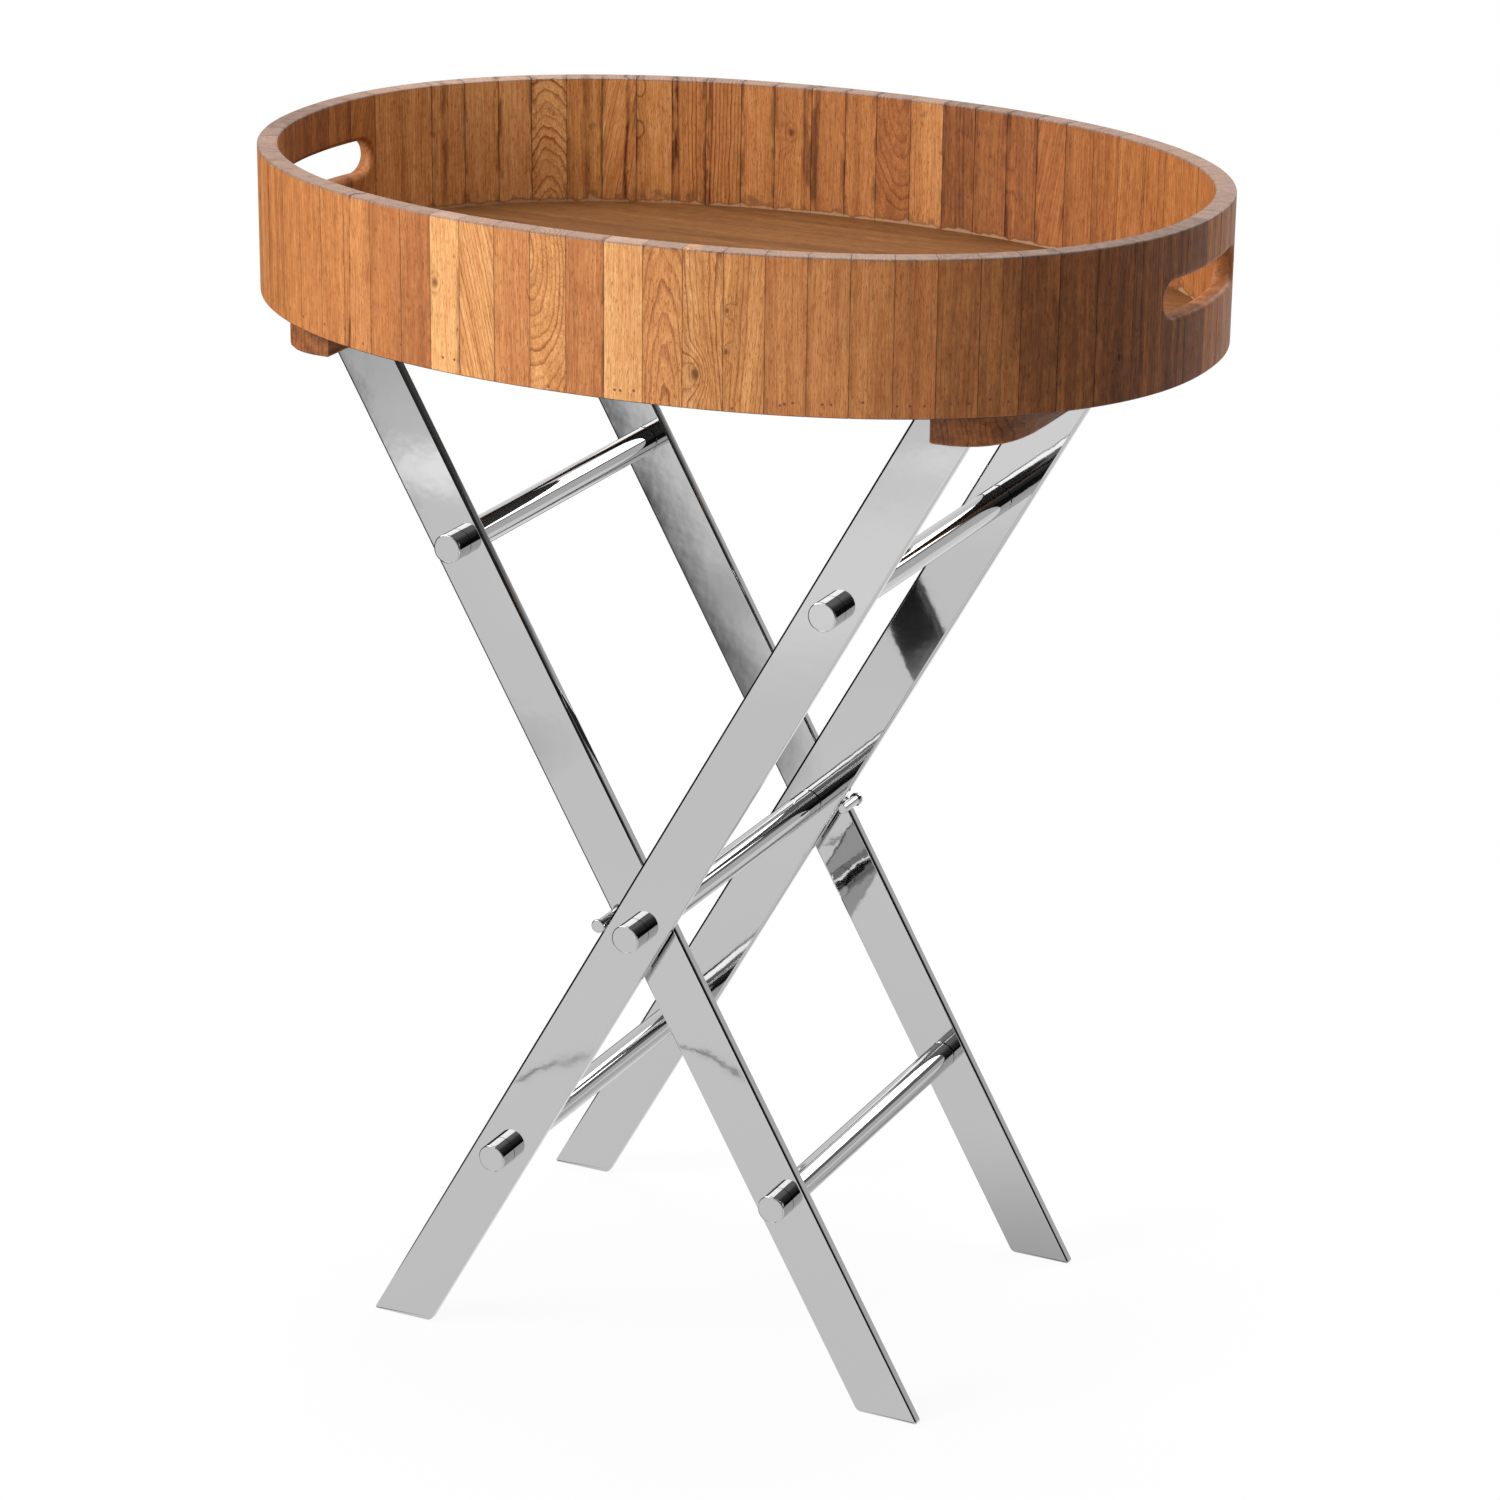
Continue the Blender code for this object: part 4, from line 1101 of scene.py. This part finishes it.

# %% [markdown]
# No two staves of the real rim look alike. Each one here gets its tone, from 0 for dark brown to 1
# for pale gold, its warmth, from 0 for golden to 1 for reddish, and the strength of its ring
# lines. The tones also hold painted light: the staves round the right end are set darker for the
# shade that falls there, and the far staves towards the left are set lighter against their shade.
# The staves count round the rim, from 0 at the right end past the far side.

# %% Stave looks
# painted light in the tones: darker staves round the right end for its shade, lighter far staves towards the
# left
STAVE_LOOKS = (
    (0.44, 0.5, 0.3), (0.44, 0.4, 0.4), (0.42, 0.5, 0.3), (0.46, 0.6, 0.3), (0.52, 0.6, 0.4),
    (0.56, 0.5, 0.5), (0.54, 0.5, 0.4), (0.55, 0.4, 0.3), (0.53, 0.5, 0.5), (0.52, 0.4, 0.3),
    (0.48, 0.5, 0.4), (0.46, 0.5, 0.3), (0.50, 0.6, 0.5), (0.42, 0.6, 0.5), (0.42, 0.5, 0.3),
    (0.38, 0.5, 0.5), (0.70, 0.3, 0.3), (0.49, 0.6, 0.6), (0.64, 0.4, 0.3), (0.56, 0.4, 0.3),
    (0.64, 0.4, 0.3), (0.66, 0.4, 0.2), (0.57, 0.3, 0.9), (0.60, 0.3, 0.8), (0.70, 0.1, 0.3),
    (0.73, 0.3, 0.4), (0.65, 0.1, 0.3), (0.87, 0.1, 0.9), (0.84, 0.4, 0.3), (0.84, 0.3, 0.3),
    (0.83, 0.3, 0.3), (0.79, 0.2, 0.3), (0.73, 0.2, 0.3), (0.50, 0.3, 0.4), (0.40, 0.4, 0.3),
    (0.30, 0.4, 0.4), (0.30, 0.5, 0.3), (0.30, 0.4, 0.3), (0.42, 0.4, 0.4), (0.58, 0.3, 0.3),
    (0.46, 0.4, 0.4), (0.50, 0.4, 0.3), (0.47, 0.4, 0.4), (0.53, 0.4, 0.2), (0.52, 0.5, 0.2),
    (0.53, 0.4, 0.2), (0.59, 0.4, 0.2), (0.48, 0.6, 0.2), (0.47, 0.7, 0.2), (0.89, 0.2, 0.2),
    (0.77, 0.1, 0.6), (0.68, 0.6, 0.3), (0.73, 0.2, 0.8), (0.59, 0.7, 0.3), (0.91, 0.2, 0.1),
    (0.66, 0.4, 0.8), (0.67, 0.2, 0.8), (0.69, 0.2, 0.6), (0.62, 0.6, 0.3), (0.61, 0.5, 0.2),
    (0.59, 0.5, 0.2), (0.54, 0.7, 0.2), (0.41, 0.5, 0.3), (0.39, 0.4, 0.3), (0.30, 0.4, 0.3),
    (0.27, 0.5, 0.3), (0.25, 0.5, 0.3), (0.27, 0.5, 0.6), (0.23, 0.5, 0.4), (0.25, 0.5, 0.3),
)
print(len(STAVE_LOOKS), "staves have a look of their own")

# %% [markdown]
# How a board was cut makes its figure. Most were cut with the heart of the log far to one side,
# which gives straight lines, and in three the log leaned sideways, so that the lines slant. A few
# logs are given one by one, with the heart just behind the face or leaning through it, so that the
# arches fall as they do on the real tray. Then come the knots, each at a place round the rim
# counted in staves, with its height above the foot and its radius. A radius below zero is a plug:
# only its outline shows. Last are the streaks, each with its place, its half width, its strength
# and how far it leans sideways over its height. A strength below zero is pale sapwood instead of a
# dark streak.

# %% Logs, knots and streaks of single staves
SLANTED_STAVES = (12, 25, 33)
# how far the heart lies to one side and behind the face, and how far it leans both ways
LOG_PLACES = {
    17: (0.004, -0.030, 0.0, 0.28),
    27: (0.0, 0.007, 0.0, 0.33),
    50: (0.055, 0.01, 0.24, 0.0),
    52: (0.016, -0.013, 0.05, 0.34),
    55: (0.001, 0.010, 0.0, 0.13),
    56: (-0.022, 0.016, 0.12, 0.10),
    57: (0.026, 0.010, -0.08, 0.05),
}
KNOTS = {
    13: ((13.7, 0.054, 0.0055),),
    18: ((18.65, 0.074, 0.0040),),
    20: ((20.05, 0.069, 0.0045),),
    24: ((24.45, 0.065, -0.0040), (24.40, 0.096, -0.0040)),
    49: ((48.62, 0.058, 0.0046), (49.30, 0.030, 0.0014)),
    56: ((55.72, 0.023, 0.0045),),
    57: ((56.46, 0.065, 0.0022), (56.44, 0.039, 0.0022)),
    8: ((8.1, 0.033, 0.0035),),
    40: ((40.2, 0.070, 0.0035),),
    66: ((66.1, 0.030, 0.0030),),
}
STREAKS = {
    12: (12.55, 0.0025, 0.8, 0.0),
    13: (13.45, 0.0030, 0.7, 0.0),
    15: (15.1, 0.0040, 0.4, 0.0),
    19: (19.3, 0.0035, 0.7, 0.0),
    20: (19.62, 0.0045, 0.7, 0.0),
    22: (22.42, 0.0030, 0.8, 0.0),
    23: (23.40, 0.0035, 1.0, 0.0),
    24: (24.52, 0.0030, 0.8, 0.0),
    25: (24.75, 0.0025, 1.0, 0.0),
    26: (25.95, 0.0050, 0.6, 0.0),
    30: (30.1, 0.0040, 0.7, 0.0),
    41: (41.3, 0.0030, 0.5, 0.0),
    46: (45.66, 0.0022, 1.0, 0.045),
    49: (49.40, 0.0035, 0.75, 0.02),
    53: (53.40, 0.0025, 0.7, 0.0),
    56: (55.52, 0.0075, -0.8, 0.0),
    64: (64.3, 0.0060, 0.4, 0.0),
    67: (66.8, 0.0030, 0.6, 0.0),
    68: (68.2, 0.0030, 0.5, 0.0),
}
GRIMY_SEAMS = range(12, 31)
NO_KNOT = (9.0, 0.0, 0.001)
NO_STREAK = (9.0, 0.001, 0.0, 0.0)
print(len(KNOTS), "staves have knots, and", len(STREAKS), "have streaks")

# %% [markdown]
# Each stave's look and its places are written onto its points while it is still flat. There the
# wall has simple coordinates, and the bend leaves the attributes as they are. What can't be counted
# in the photograph is drawn from one set of dice, so that the tray comes out the same each time.

# %% Board places
dice = random.Random(11)


def place_in_log(slanted):
    """Where a stave's log has its heart, across and behind it, and how it leans both ways."""
    side = dice.choice((-1, 1))
    if slanted:
        return (side * 0.06, dice.uniform(-0.02, 0.02), dice.choice((-1, 1)) * dice.uniform(0.15, 0.26), 0)
    lean = dice.uniform(-0.02, 0.02)
    return (side * dice.uniform(0.07, 0.15), dice.uniform(-0.04, 0.04), lean, dice.uniform(-0.02, 0.02))


def mark_board(piece, stave, middle):
    """Gives each point of a flat stave its place in the log and on the wall, and the stave its look."""
    log = LOG_PLACES.get(stave) or place_in_log(stave in SLANTED_STAVES)
    across, behind, lean_across, lean_behind = log
    lift = dice.uniform(0, 20)
    centre = TRAY_BOTTOM + RIM_HEIGHT / 2
    turn = round((middle / STAVE_WIDTH - stave) / STAVE_COUNT) * STAVE_COUNT
    knots = [((place + turn) * STAVE_WIDTH, height, size) for place, height, size in KNOTS.get(stave, ())]
    knots += [NO_KNOT] * (2 - len(knots))
    place, half_width, strength, streak_lean = STREAKS.get(stave, NO_STREAK)
    grime = dice.uniform(0.35, 0.85) if stave in GRIMY_SEAMS else dice.uniform(0.0, 0.25)
    fixed = {"stave_look": STAVE_LOOKS[stave], "upper_knot": knots[0], "lower_knot": knots[1]}
    left = min(vertex.co.x for vertex in piece.data.vertices)
    right = max(vertex.co.x for vertex in piece.data.vertices)
    attributes = piece.data.attributes
    for name in ("log_place", "wall_place", "board_place", "stave_stain", *fixed):
        attributes.new(name, "FLOAT_VECTOR", "POINT")
    for index, vertex in enumerate(piece.data.vertices):
        up = vertex.co.z - centre
        attributes["log_place"].data[index].vector = (
            vertex.co.x - middle + across + lean_across * up,
            vertex.co.y + behind + lean_behind * up,
            up + lift,
        )
        attributes["wall_place"].data[index].vector = (vertex.co.x, vertex.co.z - TRAY_BOTTOM, vertex.co.y)
        from_middle = vertex.co.x - (left + right) / 2
        attributes["board_place"].data[index].vector = (from_middle, (right - left) / 2, grime)
        stain_place = (place + turn) * STAVE_WIDTH + streak_lean * up
        attributes["stave_stain"].data[index].vector = (stain_place, half_width, strength)
        for name, value in fixed.items():
            attributes[name].data[index].vector = value


print("a plain stave's log lies at", [round(value, 3) for value in place_in_log(False)])

# %% [markdown]
# The staves are not all equally wide. The seams that can be counted in the photograph lie a few
# millimetres off an even spacing on the near side, and the others get a small spread of their own.
# Only the four where a slotted plank ends stay in their even places.

# %% Seams
SEAM = 0.00003
SEAM_EDGE = 0.00035
PLANK_ENDS = (4, 32, 39, 67)
FAR_SEAM_SPREAD = 0.0012
# in millimetres, from this seam on
FIRST_NEAR_SEAM = 50
NEAR_SEAM_SHIFTS = (
    -3.5, -3.0, -3.0, -3.5, -3.5, -3.5, -3.5, -3.5, -3.5,
    -3.5, -3.5, -2.8, -2.7, -2.5, -2.6, -3.5, -2.7,
)

seam_shifts = {FIRST_NEAR_SEAM + step: shift / 1000 for step, shift in enumerate(NEAR_SEAM_SHIFTS)}
for stave in range(STAVE_COUNT):
    shift = 0 if stave in PLANK_ENDS else dice.uniform(-FAR_SEAM_SPREAD, FAR_SEAM_SPREAD)
    seam_shifts.setdefault(stave, shift)


def seam_place(stave):
    """The distance round the rim of a stave's left seam."""
    return (stave - 0.5) * STAVE_WIDTH + seam_shifts[stave % STAVE_COUNT]


print("seam 50 lies at", round(seam_place(50), 4), "m")

# %% [markdown]
# The plain staves are copies of one pattern block, each stretched to its own width. Cuts down the
# pattern let it bend smoothly. Its edges are rounded at the top and the foot, and finely broken at
# the seams, which draws the thin line between two staves.

# %% Plain staves
RIM_EDGE = 0.0014
STAVE_STEPS = 4
PAIRS_A_SIDE = 14
slots = {entry["node"]: entry["material_slot"] for entry in frame["record"]["subparts"]}


def round_the_rim(piece):
    """Rounds the long edges at the top and the foot of a flat stave."""
    ends = (TRAY_BOTTOM, TRAY_BOTTOM + RIM_HEIGHT)
    ease(piece, lambda edge: runs_along(edge, 0) and any(lies_at(edge, 2, end) for end in ends), RIM_EDGE, 3)


def ease_the_seams(piece, left, right):
    """Breaks the edges of a stave's two glued faces."""
    ease(piece, lambda edge: lies_at(edge, 0, left) or lies_at(edge, 0, right), SEAM_EDGE, 2)


def bend_round(piece):
    """Bends a flat piece round the oval."""
    alone(piece)
    bend = piece.modifiers.new("bend", "CURVE")
    bend.object = rim_outline
    bend.deform_axis = "POS_X"
    bpy.ops.object.modifier_apply(modifier=bend.name)


def finish_stave(piece, node, stave, middle):
    """Wood, log place, bend and shading for one flat stave."""
    bpy.ops.object.mode_set(mode="OBJECT")
    for wood in (teak, end_teak, shaded_teak):
        piece.data.materials.append(wood)
    for face in piece.data.polygons:
        face.material_index = 0
        if face.center.z > TRAY_BOTTOM + RIM_HEIGHT - RIM_EDGE:
            face.material_index = 1
        # the foot faces under the rim take the dark teak as painted shade
        if face.center.z < TRAY_BOTTOM + RIM_EDGE / 2:
            face.material_index = 2
    mark_board(piece, stave, middle)
    bend_round(piece)
    smooth(piece)
    finish_piece(piece, "tray", slots[node], node)


half = STAVE_WIDTH / 2
pattern = start_block("stave_pattern", (-half, 0, TRAY_BOTTOM), (half, RIM_WALL, TRAY_BOTTOM + RIM_HEIGHT))
pick(pattern, "EDGE", lambda edge: runs_along(edge, 0))
bpy.ops.mesh.subdivide(number_cuts=STAVE_STEPS - 1)
round_the_rim(pattern)
ease_the_seams(pattern, -half, half)
bpy.ops.object.mode_set(mode="OBJECT")

for pair in range(2 * PAIRS_A_SIDE):
    side, step = divmod(pair, PAIRS_A_SIDE)
    first = side * STAVE_COUNT // 2 + HANDLE_REACH + 1 + 2 * step
    for stave in (first, first + 1):
        left = seam_place(stave) + SEAM
        right = seam_place(stave + 1) - SEAM
        middle = Vector(((left + right) / 2, 0, 0))
        piece = copy_to(pattern, f"stave_{stave:02d}", middle, 0, (right - left) / STAVE_WIDTH)
        finish_stave(piece, f"stave_pair_{pair + 1:02d}", stave, stave * STAVE_WIDTH)
bpy.data.objects.remove(pattern)
print("56 plain staves stand round the sides")

# %% [markdown]
# At each end a hand slot runs through the middle staves. It is cut after gluing, so one cut
# crosses several staves. The slot is a block with its ends rounded by a bevel, taken out of
# a flat plank with a Boolean, and a broad bevel then rounds its edge for the fingers. Only after
# that is the plank cut into its seven staves.

# %% Slotted staves
SLOT_LENGTH = 0.124
SLOT_HEIGHT = 0.024
SLOT_BELOW_TOP = 0.0315
SLOT_EDGE_RADIUS = 0.004
CUTTER_OVERSHOOT = 0.01

reach = (HANDLE_REACH + 0.5) * STAVE_WIDTH
plank = start_block("plank", (-reach, 0, TRAY_BOTTOM), (reach, RIM_WALL, TRAY_BOTTOM + RIM_HEIGHT))
bpy.ops.object.mode_set(mode="OBJECT")
slot_top = TRAY_BOTTOM + RIM_HEIGHT - SLOT_BELOW_TOP
cutter = start_block(
    "slot_cutter",
    (-SLOT_LENGTH / 2, -CUTTER_OVERSHOOT, slot_top - SLOT_HEIGHT),
    (SLOT_LENGTH / 2, RIM_WALL + CUTTER_OVERSHOOT, slot_top),
)
ease(cutter, lambda edge: runs_along(edge, 1), SLOT_HEIGHT / 2 - NEAR, 10)
take_out(cutter, plank, "EXACT")
bpy.ops.object.mode_set(mode="EDIT")
slot_middle = Vector((0, 0, slot_top - SLOT_HEIGHT / 2))


def runs_round_slot(edge):
    """Whether an edge runs round the slot, on either face of the plank."""
    away = [vertex.co - slot_middle for vertex in edge.verts]
    if any(abs(gap.x) > SLOT_LENGTH / 2 + NEAR or abs(gap.z) > SLOT_HEIGHT / 2 + NEAR for gap in away):
        return False
    return lies_at(edge, 1, 0) or lies_at(edge, 1, RIM_WALL)


found = ease(plank, runs_round_slot, SLOT_EDGE_RADIUS, 5)
round_the_rim(plank)
for line in range(1, (2 * HANDLE_REACH + 1) * STAVE_STEPS):
    cut((-reach + line * STAVE_WIDTH / STAVE_STEPS, 0, 0), (1, 0, 0))
bpy.ops.object.mode_set(mode="OBJECT")
print("the slot's edge has", found, "edges, and the plank", len(plank.data.polygons), "faces")

for node, first in (("right_handle_staves", STAVE_COUNT), ("left_handle_staves", STAVE_COUNT // 2)):
    for step in range(-HANDLE_REACH, HANDLE_REACH + 1):
        stave = first + step
        piece = copy_to(plank, f"stave_{stave % STAVE_COUNT:02d}", Vector((0, 0, 0)))
        left = max(seam_place(stave) - first * STAVE_WIDTH, -reach) + SEAM
        right = min(seam_place(stave + 1) - first * STAVE_WIDTH, reach) - SEAM
        bpy.ops.object.mode_set(mode="EDIT")
        cut((left, 0, 0), (1, 0, 0), "behind")
        cut((right, 0, 0), (1, 0, 0), "ahead")
        ease_the_seams(piece, left, right)
        bpy.ops.object.mode_set(mode="OBJECT")
        piece.location = (first * STAVE_WIDTH, 0, 0)
        set_down(piece)
        finish_stave(piece, node, stave % STAVE_COUNT, stave * STAVE_WIDTH)
bpy.data.objects.remove(plank)
print("14 slotted staves close the ends")

# %% [markdown]
# A row of small brads along the foot holds the floor in the rim. Their heads are stained dark and
# lie almost flush with the face. Here they stand 0.04 mm proud, because a head that is level with
# the wood would not show. Each place is the stave number and the height above the foot in
# millimetres. The back and the ends get one brad in each stave, with a little spread.

# %% Brads along the foot
BRAD_RADIUS = 0.0009
BRAD_STANDS_PROUD = 0.00004
NEAR_BRADS = (
    (45.45, 12), (46.15, 6), (47.5, 12), (48.85, 10), (49.2, 10), (51.9, 3), (53.65, 7),
    (53.8, 7), (54.15, 8), (56.6, 3), (57.75, 7), (57.85, 8), (58.05, 9), (58.75, 9),
    (58.95, 9), (59.7, 11), (60.5, 9), (60.8, 9), (61.15, 9), (61.75, 10), (62.2, 10),
    (62.7, 12), (63.15, 10), (64.8, 8), (65.75, 9), (66.15, 9),
)

brads = [(place, height / 1000) for place, height in NEAR_BRADS]
brads += [(stave + dice.uniform(0.2, 0.8), dice.uniform(0.006, 0.012)) for stave in range(45)]
heads = []
for place, height in brads:
    bpy.ops.object.select_all(action="DESELECT")
    bpy.ops.mesh.primitive_cylinder_add(
        vertices=12,
        radius=BRAD_RADIUS,
        depth=2 * BRAD_STANDS_PROUD,
        location=(place * STAVE_WIDTH, 0, TRAY_BOTTOM + height),
        rotation=(math.pi / 2, 0, 0),
    )
    heads.append(bpy.context.object)
    set_down(heads[-1])
bpy.ops.object.select_all(action="DESELECT")
for head in heads:
    head.select_set(True)
bpy.context.view_layer.objects.active = heads[0]
bpy.ops.object.join()
brad_heads = bpy.context.object
brad_heads.name = "floor_brads"
bpy.ops.object.mode_set(mode="EDIT")
ease(brad_heads, lambda edge: lies_at(edge, 1, -BRAD_STANDS_PROUD), BRAD_STANDS_PROUD, 1)
bpy.ops.object.mode_set(mode="OBJECT")
bend_round(brad_heads)
brad_steel, tree = new_material("rusted steel brad")
place = add_node(tree, "TexCoord")["Object"]
rust = add_node(tree, "TexNoise", {"Vector": place, "Scale": 400, "Detail": 2})[0]
stain = add_node(tree, "Mix", {0: rust, 6: colour("#4A2A1C"), 7: colour("#8A5638")}, data_type="RGBA")[2]
shader = add_node(tree, "BsdfPrincipled", {"Base Color": stain, "Roughness": 0.6})[0]
add_node(tree, "OutputMaterial", {"Surface": shader})
brad_heads.data.materials.append(brad_steel)
smooth(brad_heads)
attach(brad_heads, "tray")
bpy.data.objects.remove(rim_outline)
print(len(brads), "brads hold the floor")

# %% [markdown]
# The floor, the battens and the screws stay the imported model's own meshes, because little of them
# shows and finer edges would add nothing. They only get their materials.

# %% Wood and steel on the carried nodes
def dress(node, material):
    """Gives a carried-over node its material."""
    data = frame["nodes"][node].data
    data.materials.clear()
    data.materials.append(material)


dress("tray_floor", floor_teak)
for end in ("left", "right"):
    dress(f"{end}_batten", batten_teak)
    for row in ("front", "rear"):
        dress(f"{end}_batten_{row}_screw", chrome)
print("the floor, the battens and the screws have their finish")

# %% [markdown]
# Last, the scene is brought up to date.

# %% The end
bpy.context.view_layer.update()
